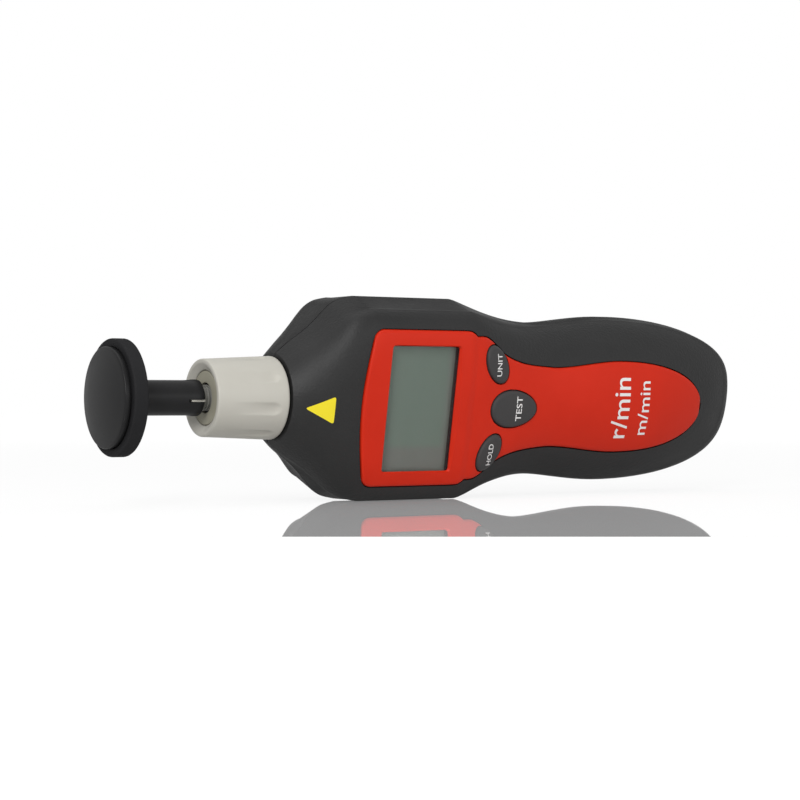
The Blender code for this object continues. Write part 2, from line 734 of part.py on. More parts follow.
# Where the battery, its connector and the tray around them begin and end
battery_end = BATTERY_START_X + BATTERY_LENGTH
connector_start = battery_end + GAP
tray_start = BATTERY_START_X - TRAY_CLEARANCE - TRAY_WALL
tray_end = connector_start + CONNECTOR_THICKNESS + TRAY_CLEARANCE + TRAY_WALL
tray_half = BATTERY_HALF_WIDTH + TRAY_CLEARANCE + TRAY_WALL
tray_floor = BATTERY_HALF_THICKNESS - BATTERY_DEPTH + TRAY_CLEARANCE

# Housing, with the openings for the nose tube, the face panel, the display and the buttons
front_case = shell("front_case", True, black)
rear_case = shell("rear_case", False, black)
nose_hole = TUBE_RADIUS + GAP
for half_case in (front_case, rear_case):
    cut(half_case, rod("hole", NOSE_X - 2, NOSE_X + NOSE_WALL + 1, nose_hole, None, ROUND_SIDES))

keys = [("measure_button", measure_outline(), measure_outline(BUTTON_CLEARANCE), measure_outline(BUTTON_FLANGE)),
        ("upper_button", side_outline(1), side_outline(1, BUTTON_CLEARANCE), side_outline(1, BUTTON_FLANGE)),
        ("lower_button", side_outline(-1), side_outline(-1, BUTTON_CLEARANCE), side_outline(-1, BUTTON_FLANGE))]

for x, z in both_sides(BOARD_POSTS):
    join(front_case, boss(x, z, BOARD_FACE + GAP, FACE_HEIGHT, BOARD_POST_RADIUS))
for x, z in both_sides(CASE_SCREWS):
    join(front_case, boss(x, z, GAP / 2, FACE_HEIGHT, POST_RADIUS))
    join(rear_case, boss(x, z, -HEAD_BACK_DEPTH, -GAP / 2, POST_RADIUS))
for x, z in both_sides(BOARD_POSTS):
    depth = BOARD_FACE - BOARD_THICKNESS - GAP + BOARD_SCREW_LENGTH + BLIND_DEPTH
    cut(front_case, post("bore", x, z, BOARD_FACE - 2, depth, BOARD_SCREW_RADIUS + GAP, None, 12))
screw_tip = SCREW_LENGTH - SCREW_SEAT_DEPTH - GAP
for x, z in both_sides(CASE_SCREWS):
    cut(front_case, post("bore", x, z, -2, screw_tip + BLIND_DEPTH, SCREW_RADIUS + GAP, None, 12))
    cut(rear_case, post("bore", x, z, -SCREW_SEAT_DEPTH - 1, 2, SCREW_RADIUS + GAP, None, 12))
    cut(rear_case, post("well", x, z, -30, -SCREW_SEAT_DEPTH, SCREW_HEAD_RADIUS + GAP, None, 20))

cut(front_case, panel_slab("pocket", GAP, lambda x, z, d: surface(x, z) - PANEL_POCKET,
                           lambda x, z, d: FACE_HEIGHT + CUT_REACH))
module_length = DISPLAY_HALF_LENGTH + MODULE_OVERLAP
module_width = DISPLAY_HALF_WIDTH + MODULE_OVERLAP
cut(front_case, prism("opening", rounded_box(DISPLAY_X, module_length + 2 * GAP, module_width + 2 * GAP, WINDOW_CORNER + GAP),
                      BOARD_FACE, FACE_HEIGHT + CUT_REACH))
for name, outline, hole, flange in keys:
    cut(front_case, prism("hole", hole, BOARD_FACE + SHELL_WALL, FACE_HEIGHT + CUT_REACH))

# Face panel
face_panel = panel_slab("face_panel", 0.0, lambda x, z, d: surface(x, z) - PANEL_POCKET + GAP,
                        lambda x, z, d: surface(x, z) + panel_proud(x) - PANEL_EDGE_ROUND
                        + math.sqrt(PANEL_EDGE_ROUND ** 2 - (PANEL_EDGE_ROUND - min(d, PANEL_EDGE_ROUND)) ** 2), red)
inner_edge = rounded_box(DISPLAY_X, DISPLAY_HALF_LENGTH, DISPLAY_HALF_WIDTH, DISPLAY_CORNER)
outer_edge = rounded_box(DISPLAY_X, DISPLAY_HALF_LENGTH + DISPLAY_BEVEL, DISPLAY_HALF_WIDTH + DISPLAY_BEVEL,
                         DISPLAY_CORNER + DISPLAY_BEVEL / 2)
cut(face_panel, prism("opening", inner_edge, WINDOW_SEAT - CUT_REACH, WINDOW_SEAT + GAP * 1.2))
cut(face_panel, prism("bevel", inner_edge, WINDOW_SEAT + GAP, FACE_HEIGHT + PANEL_PROUD_HEAD + GAP, None, outer_edge))
window_length = DISPLAY_HALF_LENGTH + WINDOW_OVERLAP
window_width = DISPLAY_HALF_WIDTH + WINDOW_OVERLAP
cut(face_panel, prism("rebate", rounded_box(DISPLAY_X, window_length + GAP, window_width + GAP, WINDOW_CORNER + GAP),
                      WINDOW_SEAT - CUT_REACH, WINDOW_SEAT))
for name, outline, hole, flange in keys:
    cut(face_panel, prism("hole", hole, BOARD_FACE, FACE_HEIGHT + CUT_REACH))

# Display
window_top = WINDOW_SEAT - GAP
display_window = prism("display_window", rounded_box(DISPLAY_X, window_length, window_width, WINDOW_CORNER),
                       window_top - WINDOW_THICKNESS, window_top, window_plastic)
module_top = window_top - WINDOW_THICKNESS - GAP
module_outline = rounded_box(DISPLAY_X, module_length, module_width, 0.5)
display_glass = prism("display_glass", module_outline, module_top - MODULE_THICKNESS, module_top, display_grey)
frame_top = module_top - MODULE_THICKNESS - GAP
display_frame = prism("display_frame", module_outline, BOARD_FACE + GAP, frame_top, frame_white)
cut(display_frame, block("inside", DISPLAY_X - module_length + FRAME_WALL, DISPLAY_X + module_length - FRAME_WALL,
                         BOARD_FACE - 2, frame_top + 2, -module_width + FRAME_WALL, module_width - FRAME_WALL))

# Board, switches and board screws
board_outline = [(BOARD_START_X, -BOARD_HALF_WIDTH), (BOARD_STEP_X, -BOARD_HALF_WIDTH),
                 (BOARD_STEP_X, -BOARD_TAIL_HALF_WIDTH), (BOARD_END_X, -BOARD_TAIL_HALF_WIDTH),
                 (BOARD_END_X, BOARD_TAIL_HALF_WIDTH), (BOARD_STEP_X, BOARD_TAIL_HALF_WIDTH),
                 (BOARD_STEP_X, BOARD_HALF_WIDTH), (BOARD_START_X, BOARD_HALF_WIDTH)]
circuit_board = prism("circuit_board", board_outline, BOARD_FACE - BOARD_THICKNESS, BOARD_FACE, board_green)
for x, z in both_sides(BOARD_POSTS):
    cut(circuit_board, post("bore", x, z, 0, 20, BOARD_SCREW_RADIUS + GAP, None, 12))
for number, (x, z) in enumerate(both_sides(BOARD_POSTS), 1):
    seat = BOARD_FACE - BOARD_THICKNESS - GAP
    head = circle(x, z, BOARD_SCREW_HEAD_RADIUS, 12)
    shank = circle(x, z, BOARD_SCREW_RADIUS, 12)
    rings = [[(a, -seat + BOARD_SCREW_HEAD_HEIGHT, b) for a, b in head], [(a, -seat, b) for a, b in head],
             [(a, -seat, b) for a, b in shank], [(a, -seat - BOARD_SCREW_LENGTH, b) for a, b in shank]]
    loft("board_screw_%d" % number, rings, steel)

caps = []
for name, outline, hole, flange in keys:
    cap, bottom = key(name, outline, flange, grey)
    caps.append(cap)
    x, z = middle(outline)
    base = BOARD_FACE + GAP
    body = block(name.replace("button", "switch"), x - SWITCH_SIZE / 2, x + SWITCH_SIZE / 2, base, base + SWITCH_HEIGHT,
                 z - SWITCH_SIZE / 2, z + SWITCH_SIZE / 2, switch_black)
    plunger = post("plunger", x, z, base + 0.5, bottom - BUTTON_TRAVEL - GAP, SWITCH_PLUNGER_RADIUS, None, 16)
    join(body, plunger)

# Nose tube, lens and the optics behind it
flange_front = NOSE_X + NOSE_WALL + GAP
chopper_front = TUBE_FRONT_X + 1.0
lens_front = chopper_front + CHOPPER_THICKNESS + 2 * GAP
shoulder = lens_front + LENS_THICKNESS + GAP
bore_inner = TUBE_BORE_RADIUS - TUBE_SHOULDER
nose_tube = turned("nose_tube", [
    (TUBE_FRONT_X, TUBE_BORE_RADIUS), (TUBE_FRONT_X, TUBE_RADIUS - 0.5), (TUBE_FRONT_X + 0.5, TUBE_RADIUS),
    (flange_front, TUBE_RADIUS), (flange_front, TUBE_FLANGE_RADIUS),
    (flange_front + TUBE_FLANGE_THICKNESS, TUBE_FLANGE_RADIUS), (flange_front + TUBE_FLANGE_THICKNESS, TUBE_RADIUS),
    (TUBE_BACK_X, TUBE_RADIUS), (TUBE_BACK_X, bore_inner), (shoulder, bore_inner), (shoulder, TUBE_BORE_RADIUS)],
    wheel_black, 28)
sensor_lens = rod("sensor_lens", lens_front, lens_front + LENS_THICKNESS, TUBE_BORE_RADIUS - GAP, lens_glass, 28)
optics_front = shoulder + 0.5
laser_module = rod("laser_module", optics_front, optics_front + LASER_LENGTH, LASER_RADIUS, brass, 12, (0, OPTICS_Z))
light_sensor = rod("light_sensor", optics_front, optics_front + SENSOR_LENGTH, SENSOR_RADIUS, switch_black, 12,
                   (0, -OPTICS_Z))
holder_front = optics_front + HOLDER_INSET
optics_holder = rod("optics_holder", holder_front, holder_front + HOLDER_LENGTH, bore_inner - GAP, frame_white, 24)
cut(optics_holder, rod("hole", holder_front - 1, holder_front + HOLDER_LENGTH + 1, LASER_RADIUS + GAP, None, 12,
                       (0, OPTICS_Z)),
    rod("hole", holder_front - 1, holder_front + HOLDER_LENGTH + 1, SENSOR_RADIUS + GAP, None, 12, (0, -OPTICS_Z)))

# Contact adapter
adapter_back = NOSE_X - GAP
socket_floor = TUBE_FRONT_X - SOCKET_END_GAP
collar_front = adapter_back - ADAPTER_COLLAR
dish_floor = ADAPTER_FRONT_X + ADAPTER_DISH_DEPTH
face_seat = dish_floor + ADAPTER_FACE_THICKNESS + GAP
front_bearing = face_seat + GAP
adapter_housing = turned("adapter_housing", [
    (adapter_back, TUBE_RADIUS + GAP), (adapter_back, ADAPTER_BACK_RADIUS - 0.6),
    (adapter_back - 0.2, ADAPTER_BACK_RADIUS - 0.2), (adapter_back - 0.7, ADAPTER_BACK_RADIUS),
    (collar_front, ADAPTER_BACK_RADIUS - 0.05),
    (ADAPTER_FRONT_X + ADAPTER_EDGE * 1.6, ADAPTER_FRONT_RADIUS),
    (ADAPTER_FRONT_X + ADAPTER_EDGE * 0.6, ADAPTER_FRONT_RADIUS - 0.15),
    (ADAPTER_FRONT_X + ADAPTER_EDGE * 0.15, ADAPTER_FRONT_RADIUS - 0.55),
    (ADAPTER_FRONT_X, ADAPTER_DISH_RADIUS), (dish_floor, ADAPTER_FACE_RADIUS + GAP),
    (face_seat, ADAPTER_FACE_RADIUS + GAP), (face_seat, BEARING_RADIUS + GAP), (socket_floor, BEARING_RADIUS + GAP),
    (socket_floor, TUBE_RADIUS + GAP)], pale, 40)
flutes = []
for k in range(ADAPTER_FLUTES):
    a = ADAPTER_FLUTE_TURN + 2 * math.pi * k / ADAPTER_FLUTES
    reach = ADAPTER_BACK_RADIUS - ADAPTER_FLUTE_DEPTH + ADAPTER_FLUTE_RADIUS
    end = collar_front - ADAPTER_FLUTE_RADIUS
    profile = [(ADAPTER_FRONT_X - 2, 0), (ADAPTER_FRONT_X - 2, ADAPTER_FLUTE_RADIUS), (end, ADAPTER_FLUTE_RADIUS)]
    for step in (1, 2, 3):
        b = math.pi / 2 * step / 4
        profile.append((end + ADAPTER_FLUTE_RADIUS * math.sin(b), ADAPTER_FLUTE_RADIUS * math.cos(b)))
    profile.append((collar_front, 0))
    flutes.append(turned("flute", profile, None, 20, (-reach * math.cos(a), reach * math.sin(a))))
cut(adapter_housing, as_one(flutes))
adapter_face = tube("adapter_face", dish_floor, dish_floor + ADAPTER_FACE_THICKNESS, ADAPTER_FACE_RADIUS,
                    ADAPTER_HOLE_RADIUS, pale, 32)

rear_bearing = front_bearing + BEARING_WIDTH + SPACER_LENGTH + 2 * GAP
ring_start = rear_bearing + BEARING_WIDTH + GAP
outer_race = BEARING_RADIUS - BEARING_RACE
inner_race = BEARING_BORE_RADIUS + BEARING_RACE
bearings = (("front_bearing", front_bearing), ("rear_bearing", rear_bearing))
for name, x in bearings:
    tube(name + "_outer", x, x + BEARING_WIDTH, BEARING_RADIUS, outer_race, steel, 20)
bearing_spacer = tube("bearing_spacer", front_bearing + BEARING_WIDTH + GAP, rear_bearing - GAP, BEARING_RADIUS,
                      outer_race, steel, 20)
retaining_ring = tube("retaining_ring", ring_start, ring_start + RING_LENGTH, BEARING_RADIUS, outer_race, steel, 20)

# Spindle
shaft_radius = BEARING_BORE_RADIUS - GAP
shaft_front = STEM_END_X - STEM_BORE_DEPTH + GAP
shaft_back = lens_front - GAP
spindle_shaft = turned("spindle_shaft", [
    (shaft_front, 0), (shaft_front, shaft_radius - 0.5), (shaft_front + 0.5, shaft_radius),
    (shaft_back, shaft_radius), (shaft_back, 0)], steel, 24)
hub_front, hub_back = STEM_END_X + GAP, front_bearing - GAP
hub_profile = [(hub_back, BEARING_BORE_RADIUS), (hub_back, HUB_CORE_RADIUS)]
pitch = (hub_back - hub_front) / (HUB_RIBS + 0.5)
for k in range(HUB_RIBS):
    x = hub_back - pitch * (k + 0.5)
    hub_profile += [(x, HUB_CORE_RADIUS), (x, HUB_RIB_RADIUS), (x - pitch / 2, HUB_RIB_RADIUS),
                    (x - pitch / 2, HUB_CORE_RADIUS)]
hub_profile += [(hub_front, HUB_CORE_RADIUS), (hub_front, BEARING_BORE_RADIUS)]
spindle_hub = turned("spindle_hub", hub_profile, hub_grey, 20)
ball_ring = (inner_race + outer_race) / 2
for name, x in bearings:
    tube(name + "_inner", x, x + BEARING_WIDTH, inner_race, BEARING_BORE_RADIUS, steel, 16)
    centre = x + BEARING_WIDTH / 2
    cage = tube(name + "_balls", centre - CAGE_WIDTH / 2, centre + CAGE_WIDTH / 2, ball_ring + CAGE_WIDTH / 2,
                ball_ring - CAGE_WIDTH / 2, steel, 18)
    balls = []
    for k in range(BALL_COUNT):
        a = 2 * math.pi * (k + 0.25) / BALL_COUNT
        balls.append(ball(centre, ball_ring * math.cos(a), ball_ring * math.sin(a), BALL_RADIUS))
    join(cage, as_one(balls))
chopper_disc = tube("chopper_disc", chopper_front, chopper_front + CHOPPER_THICKNESS, CHOPPER_RADIUS,
                    shaft_radius + GAP, wheel_black, 24)
for k in range(CHOPPER_NOTCHES):
    a = 2 * math.pi * (k + 0.25) / CHOPPER_NOTCHES
    r = CHOPPER_RADIUS
    cut(chopper_disc, rod("notch", chopper_front - 1, chopper_front + CHOPPER_THICKNESS + 1, CHOPPER_NOTCH_DEPTH / 1.5,
                          None, 8, (r * math.cos(a), r * math.sin(a))))

# Surface-speed wheel
tyre_front = WHEEL_BACK_X - TYRE_WIDTH
tyre_inner = WHEEL_RADIUS - TYRE_DEPTH
lip = tyre_inner + TYRE_LIP
cap_back = tyre_front - GAP
dome_start = cap_back - DOME_EDGE
wheel_profile = [
    (STEM_END_X - STEM_BORE_DEPTH, 0), (STEM_END_X - STEM_BORE_DEPTH, BEARING_BORE_RADIUS),
    (STEM_END_X, BEARING_BORE_RADIUS), (STEM_END_X, STEM_RADIUS - 0.3), (STEM_END_X - 0.35, STEM_RADIUS + STEM_FLARE),
    (STEM_END_X - 1.6, STEM_RADIUS + STEM_FLARE), (STEM_END_X - 3.5, STEM_RADIUS), (WHEEL_BACK_X + 1.0, STEM_RADIUS),
    (WHEEL_BACK_X + 0.3, STEM_RADIUS + 0.3), (WHEEL_BACK_X, STEM_RADIUS + 1.0), (WHEEL_BACK_X, lip),
    (WHEEL_BACK_X - 0.6, lip), (WHEEL_BACK_X - 0.6, tyre_inner - GAP), (cap_back, tyre_inner - GAP),
    (cap_back, DOME_RADIUS), (dome_start + 0.35, DOME_RADIUS), (dome_start, DOME_RADIUS - 0.4)]
for k in (0.9, 0.72, 0.5, 0.25):
    wheel_profile.append((dome_start - DOME_HEIGHT * (1 - k * k), (DOME_RADIUS - 0.4) * k))
wheel_profile.append((dome_start - DOME_HEIGHT, 0))
wheel = turned("wheel", wheel_profile, wheel_black, 36)
slot = STEM_SLOT_WIDTH / 2
cut(wheel, block("slot", STEM_END_X - STEM_SLOT_DEPTH, STEM_END_X + 1, -8, 8, -slot, slot),
    block("slot", STEM_END_X - STEM_SLOT_DEPTH, STEM_END_X + 1, -slot, slot, -8, 8))
tyre_step = WHEEL_BACK_X - 0.6 - GAP
wheel_tyre = turned("wheel_tyre", [
    (WHEEL_BACK_X, lip + GAP), (WHEEL_BACK_X, WHEEL_RADIUS - TYRE_EDGE), (WHEEL_BACK_X - TYRE_EDGE, WHEEL_RADIUS),
    (tyre_front + TYRE_EDGE, WHEEL_RADIUS), (tyre_front, WHEEL_RADIUS - TYRE_EDGE), (tyre_front, tyre_inner),
    (tyre_step, tyre_inner), (tyre_step, lip + GAP)], rubber, 48)

# Battery in its tray
def battery_ring(x, inset):
    half, thick = BATTERY_HALF_WIDTH - inset, BATTERY_HALF_THICKNESS - inset
    return [(x, BATTERY_DEPTH + y, z) for z, y in rounded_box(0, half, thick, BATTERY_EDGE)]


battery = loft("battery", [battery_ring(BATTERY_START_X, 0.6), battery_ring(BATTERY_START_X + 0.6, 0),
                           battery_ring(battery_end - 0.6, 0), battery_ring(battery_end, 0.6)], cell_wrap)
connector = loft("battery_connector", [[(x, BATTERY_DEPTH + y, z) for z, y in rounded_box(
    0, CONNECTOR_HALF_WIDTH, CONNECTOR_HALF_THICKNESS, 3.0)] for x in (connector_start, connector_start + CONNECTOR_THICKNESS)],
    switch_black)
for side, radius in ((1, TERMINAL_RADIUS), (-1, SOCKET_RADIUS)):
    centre = (BATTERY_DEPTH, side * TERMINAL_Z)
    join(battery, rod("terminal", battery_end - 0.5, battery_end + TERMINAL_HEIGHT, radius, None, 16, centre))
    cut(connector, rod("hole", battery_end, battery_end + TERMINAL_HEIGHT + GAP, radius + GAP, None, 16, centre))
battery_tray = block("battery_tray", tray_start, tray_end, -TRAY_RIM_DEPTH, tray_floor + TRAY_WALL,
                     -tray_half, tray_half, tray_black)
cut(battery_tray, block("inside", tray_start + TRAY_WALL, tray_end - TRAY_WALL, -TRAY_RIM_DEPTH - 2, tray_floor,
                        -tray_half + TRAY_WALL, tray_half - TRAY_WALL))

# Battery door in the back
door_start, door_end = tray_start + DOOR_MARGIN, tray_end - DOOR_MARGIN
door_half = tray_half - DOOR_MARGIN / 2
cut(rear_case, door_slab("pocket", door_start - GAP, door_end + GAP, door_half + GAP, DOOR_THICKNESS + GAP, -6))
cut(rear_case, block("opening", door_start + DOOR_LEDGE, door_end - DOOR_LEDGE, -30, -BATTERY_DEPTH,
                     -door_half + DOOR_LEDGE, door_half - DOOR_LEDGE))
battery_door = door_slab("battery_door", door_start, door_end, door_half, DOOR_THICKNESS, 0.0, black)
rim_start, rim_end = door_start + DOOR_LEDGE + GAP, door_end - DOOR_LEDGE - GAP
rim_half = door_half - DOOR_LEDGE - GAP
rim = door_slab("rim", rim_start, rim_end, rim_half, DOOR_RIM_DEPTH, DOOR_THICKNESS / 2)
cut(rim, block("inside", rim_start + DOOR_RIM, rim_end - DOOR_RIM, -30, 0, -rim_half + DOOR_RIM, rim_half - DOOR_RIM))
join(in_triangles(battery_door), in_triangles(rim))
in_triangles(battery_door)
for k in range(DOOR_GROOVES):
    x = door_end - 6 - k * DOOR_GROOVE_PITCH
    floor = Section(x).back_at(0) - DOOR_GROOVE_DEPTH
    cut(battery_door, block("groove", x - DOOR_GROOVE_WIDTH / 2, x + DOOR_GROOVE_WIDTH / 2, -floor - 5, -floor,
                            -DOOR_GROOVE_HALF, DOOR_GROOVE_HALF))

# Screws through the back
for number, (x, z) in enumerate(both_sides(CASE_SCREWS), 1):
    seat = -SCREW_SEAT_DEPTH - GAP
    head = circle(x, z, SCREW_HEAD_RADIUS, 16)
    shank = circle(x, z, SCREW_RADIUS, 16)
    rings = [[(a, -seat + SCREW_HEAD_HEIGHT, b) for a, b in head], [(a, -seat, b) for a, b in head],
             [(a, -seat, b) for a, b in shank], [(a, -seat - SCREW_LENGTH, b) for a, b in shank]]
    made = loft("case_screw_%d" % number, rings, steel)
    cut(made, block("slot", x - 0.35, x + 0.35, seat - SCREW_HEAD_HEIGHT - 1, seat - SCREW_HEAD_HEIGHT + 0.7,
                    z - 4, z + 4))

# Roll the instrument onto the drafted side of its head
instrument = bpy.data.objects.new("instrument", None)
bpy.context.scene.collection.objects.link(instrument)
instrument.rotation_euler = (DRAFT, 0, 0)
instrument.location = (0, 0, AXIS_HEIGHT * MM)
for made in [o for o in bpy.context.scene.objects if o.type == "MESH"]:
    finish_round(made)
    made.parent = instrument
for cap, (name, outline, hole, flange) in zip(caps, keys):
    x, z = middle(outline)
    centre = Vector((x, -surface(x, z), z)) * MM
    cap.data.transform(Matrix.Translation(-centre))
    cap.location = centre
bpy.context.view_layer.update()
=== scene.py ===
import math
from contextlib import contextmanager
from functools import lru_cache, partial

import bmesh
import bpy
from mathutils import Matrix, Vector


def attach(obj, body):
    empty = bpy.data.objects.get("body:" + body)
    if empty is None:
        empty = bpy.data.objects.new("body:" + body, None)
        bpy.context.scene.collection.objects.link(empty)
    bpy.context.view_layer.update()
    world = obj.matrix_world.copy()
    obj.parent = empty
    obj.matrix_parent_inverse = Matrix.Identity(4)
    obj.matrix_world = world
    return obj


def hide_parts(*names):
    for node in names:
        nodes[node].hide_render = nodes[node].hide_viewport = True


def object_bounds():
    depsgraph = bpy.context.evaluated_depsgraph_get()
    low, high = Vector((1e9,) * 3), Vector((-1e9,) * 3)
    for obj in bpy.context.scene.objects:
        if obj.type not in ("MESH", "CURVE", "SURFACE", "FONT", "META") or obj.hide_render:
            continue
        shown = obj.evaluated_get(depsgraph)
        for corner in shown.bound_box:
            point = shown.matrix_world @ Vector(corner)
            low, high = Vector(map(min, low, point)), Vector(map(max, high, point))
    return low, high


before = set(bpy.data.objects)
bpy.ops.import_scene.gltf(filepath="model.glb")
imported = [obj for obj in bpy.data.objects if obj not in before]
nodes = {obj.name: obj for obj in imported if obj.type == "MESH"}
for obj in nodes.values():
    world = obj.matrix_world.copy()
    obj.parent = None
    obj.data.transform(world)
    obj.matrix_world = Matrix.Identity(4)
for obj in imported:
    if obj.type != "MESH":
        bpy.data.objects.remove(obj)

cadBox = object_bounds()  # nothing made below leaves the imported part's own box

# Everything is modelled in millimetres on the instrument's own axes: x runs along the spindle towards the
# handle, -y points out of the face and z runs across it. Placing a piece rolls it onto the side of its head.
millimetre = 0.001
lean = math.radians(10.5)  # slope of the head's sides
headHalf = 29.5  # half the width of the head
axisHeight = headHalf * math.cos(lean)
toScene = (Matrix.Scale(millimetre, 4) @ Matrix.Translation((0, 0, axisHeight))
           @ Matrix.Rotation(lean, 4, "X"))
outside = 30.0  # a cut that goes this far out passes every face
seatGap = 0.3  # between pieces that touch


def share(x, start, end):
    return min(1.0, max(0.0, (x - start) / (end - start)))


def ease(t):
    t = min(1.0, max(0.0, t))
    return t * t * (3 - 2 * t)


def mix(a, b, t):
    return a + (b - a) * t


def alongCurve(points, t):  # smooth line through (t, value) points that never overshoots them
    if t <= points[0][0]:
        return points[0][1]
    if t >= points[-1][0]:
        return points[-1][1]
    widths = [b[0] - a[0] for a, b in zip(points, points[1:])]
    slopes = [(b[1] - a[1]) / w for a, b, w in zip(points, points[1:], widths)]
    tangents = [slopes[0]]
    for left, right in zip(slopes, slopes[1:]):
        tangents.append(0.0 if left * right <= 0 else 2 * left * right / (left + right))
    tangents.append(slopes[-1])
    i = next(k for k in range(len(widths)) if t <= points[k + 1][0])
    u = (t - points[i][0]) / widths[i]
    a, b = points[i][1], points[i + 1][1]
    ta, tb = tangents[i] * widths[i], tangents[i + 1] * widths[i]
    return (((2 * u - 3) * u * u + 1) * a + ((u - 2) * u + 1) * u * ta
            + (3 - 2 * u) * u * u * b + (u - 1) * u * u * tb)


def spread(start, end, steps):  # evenly spaced places, without the start
    return [mix(start, end, (k + 1) / steps) for k in range(steps)]


def slowing(start, end, steps):  # places that come closer together towards the end, without the start
    return [start + (end - start) * math.sin(math.pi / 2 * (k + 1) / steps) for k in range(steps)]


# mesh building

def addObject(name, data):
    made = bpy.data.objects.new(name, data)
    bpy.context.scene.collection.objects.link(made)
    return made


@contextmanager
def editing(mesh):  # opens a mesh for bmesh work and writes the result back
    bm = bmesh.new()
    bm.from_mesh(mesh)
    yield bm
    bm.to_mesh(mesh)
    bm.free()


def tidyMesh(mesh, distance=0.0005):
    with editing(mesh) as bm:
        bmesh.ops.remove_doubles(bm, verts=bm.verts, dist=distance)
        bmesh.ops.delete(bm, geom=[e for e in bm.edges if not e.link_faces], context="EDGES")
        bmesh.ops.recalc_face_normals(bm, faces=bm.faces)


def newPiece(name, points, faces):
    mesh = bpy.data.meshes.new(name)
    mesh.from_pydata([Vector(p) for p in points], [], faces)
    tidyMesh(mesh)
    return addObject(name, mesh)


def loftPiece(name, rings):  # closed solid through rings of equal length, capped at both ends
    count = len(rings[0])
    faces = []
    for i in range(len(rings) - 1):
        for j in range(count):
            k = (j + 1) % count
            faces.append((i * count + j, i * count + k, (i + 1) * count + k, (i + 1) * count + j))
    faces.append(tuple(range(count)))
    faces.append(tuple((len(rings) - 1) * count + j for j in range(count)))
    return newPiece(name, [p for ring in rings for p in ring], faces)


def prismPiece(name, outline, low, high, far=None):  # outline of (x, z) points, between two heights
    return loftPiece(name, [[(x, -low, z) for x, z in outline], [(x, -high, z) for x, z in far or outline]])


def blockPiece(name, x0, x1, low, high, z0, z1):
    return prismPiece(name, [(x0, z0), (x1, z0), (x1, z1), (x0, z1)], low, high)


def crossPieces(name, x0, x1, reach, half):  # two bars that cross on the spindle line
    return [blockPiece(name, x0, x1, -reach, reach, -half, half),
            blockPiece(name, x0, x1, -half, half, -reach, reach)]


def circleOutline(x, z, radius, sides=40):
    turns = [2 * math.pi * k / sides for k in range(sides)]
    return [(x + radius * math.cos(a), z + radius * math.sin(a)) for a in turns]


def roundedOutline(x, halfLength, halfWidth, radius, steps=8):
    points = []
    for cx, cz, turn in ((1, 1, 0), (-1, 1, 90), (-1, -1, 180), (1, -1, 270)):
        for k in range(steps):
            a = math.radians(turn + 90 * k / (steps - 1))
            points.append((x + cx * (halfLength - radius) + radius * math.cos(a),
                           cz * (halfWidth - radius) + radius * math.sin(a)))
    return points


def asOne(pieces, name="tool"):
    bm = bmesh.new()
    for piece in pieces:
        bm.from_mesh(piece.data)
        bpy.data.objects.remove(piece)
    mesh = bpy.data.meshes.new(name)
    bm.to_mesh(mesh)
    bm.free()
    return addObject(name, mesh)


def finalMesh(piece):  # what the piece is with its modifiers
    bpy.context.view_layer.update()
    return bpy.data.meshes.new_from_object(piece.evaluated_get(bpy.context.evaluated_depsgraph_get()))


def takeResult(piece):  # the evaluated mesh becomes the piece's own, and its modifiers go
    result, old = finalMesh(piece), piece.data
    piece.modifiers.clear()
    piece.data = result
    bpy.data.meshes.remove(old)
    return piece


def workWith(piece, tools, operation="DIFFERENCE"):
    for tool in tools:
        for mesh in (piece.data, tool.data):  # slightly bent quads make a cut fail
            with editing(mesh) as bm:
                bmesh.ops.triangulate(bm, faces=bm.faces)
        step = piece.modifiers.new(operation.title(), "BOOLEAN")
        step.operation = operation
        step.solver = "EXACT"
        step.object = tool
        takeResult(piece)
        bpy.data.objects.remove(tool)
        with editing(piece.data) as bm:
            bmesh.ops.remove_doubles(bm, verts=bm.verts, dist=0.00001)
    return piece


def place(piece, body, finish, stoodFor=(), sharpAngle=32):
    mesh = piece.data
    mesh.transform(toScene)
    low, high = cadBox
    for v in mesh.vertices:  # a curve rounder than the solid's facets could pass its box by some hundredths
        v.co = Vector([min(max(c, a), b) for c, a, b in zip(v.co, low, high)])
    mesh.materials.clear()
    mesh.materials.append(finish)
    mesh.shade_smooth()
    mesh.set_sharp_from_angle(angle=math.radians(sharpAngle))
    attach(piece, body)
    if stoodFor:
        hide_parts(*stoodFor)
    return piece


# node trees for the pieces that repeat or are turned

def newTree(name, inputs):
    tree = bpy.data.node_groups.new(name, "GeometryNodeTree")
    tree.interface.new_socket("Geometry", in_out="INPUT", socket_type="NodeSocketGeometry")
    for label, kind, value in [*inputs, ("Finish", "Material", None)]:
        socket = tree.interface.new_socket(label, in_out="INPUT", socket_type="NodeSocket" + kind)
        if value is not None:
            socket.default_value = value
    tree.interface.new_socket("Geometry", in_out="OUTPUT", socket_type="NodeSocketGeometry")
    return tree, tree.nodes.new("NodeGroupInput").outputs


def addNode(tree, kind, values=None, **settings):
    made = tree.nodes.new(kind)
    for key, value in settings.items():
        setattr(made, key, value)
    for socket, value in (values or {}).items():
        if hasattr(value, "is_linked"):
            tree.links.new(value, made.inputs[socket])
        else:
            made.inputs[socket].default_value = value
    return made


def calc(tree, operation, *values):  # more than two values are taken from left to right
    made = addNode(tree, "ShaderNodeMath", dict(enumerate(values[:2])), operation=operation).outputs[0]
    return calc(tree, operation, made, *values[2:]) if len(values) > 2 else made


def remap(tree, source, low, high, fromLow=0.3, fromHigh=0.7):
    ends = {"Value": source, "From Min": fromLow, "From Max": fromHigh, "To Min": low, "To Max": high}
    return addNode(tree, "ShaderNodeMapRange", ends).outputs["Result"]


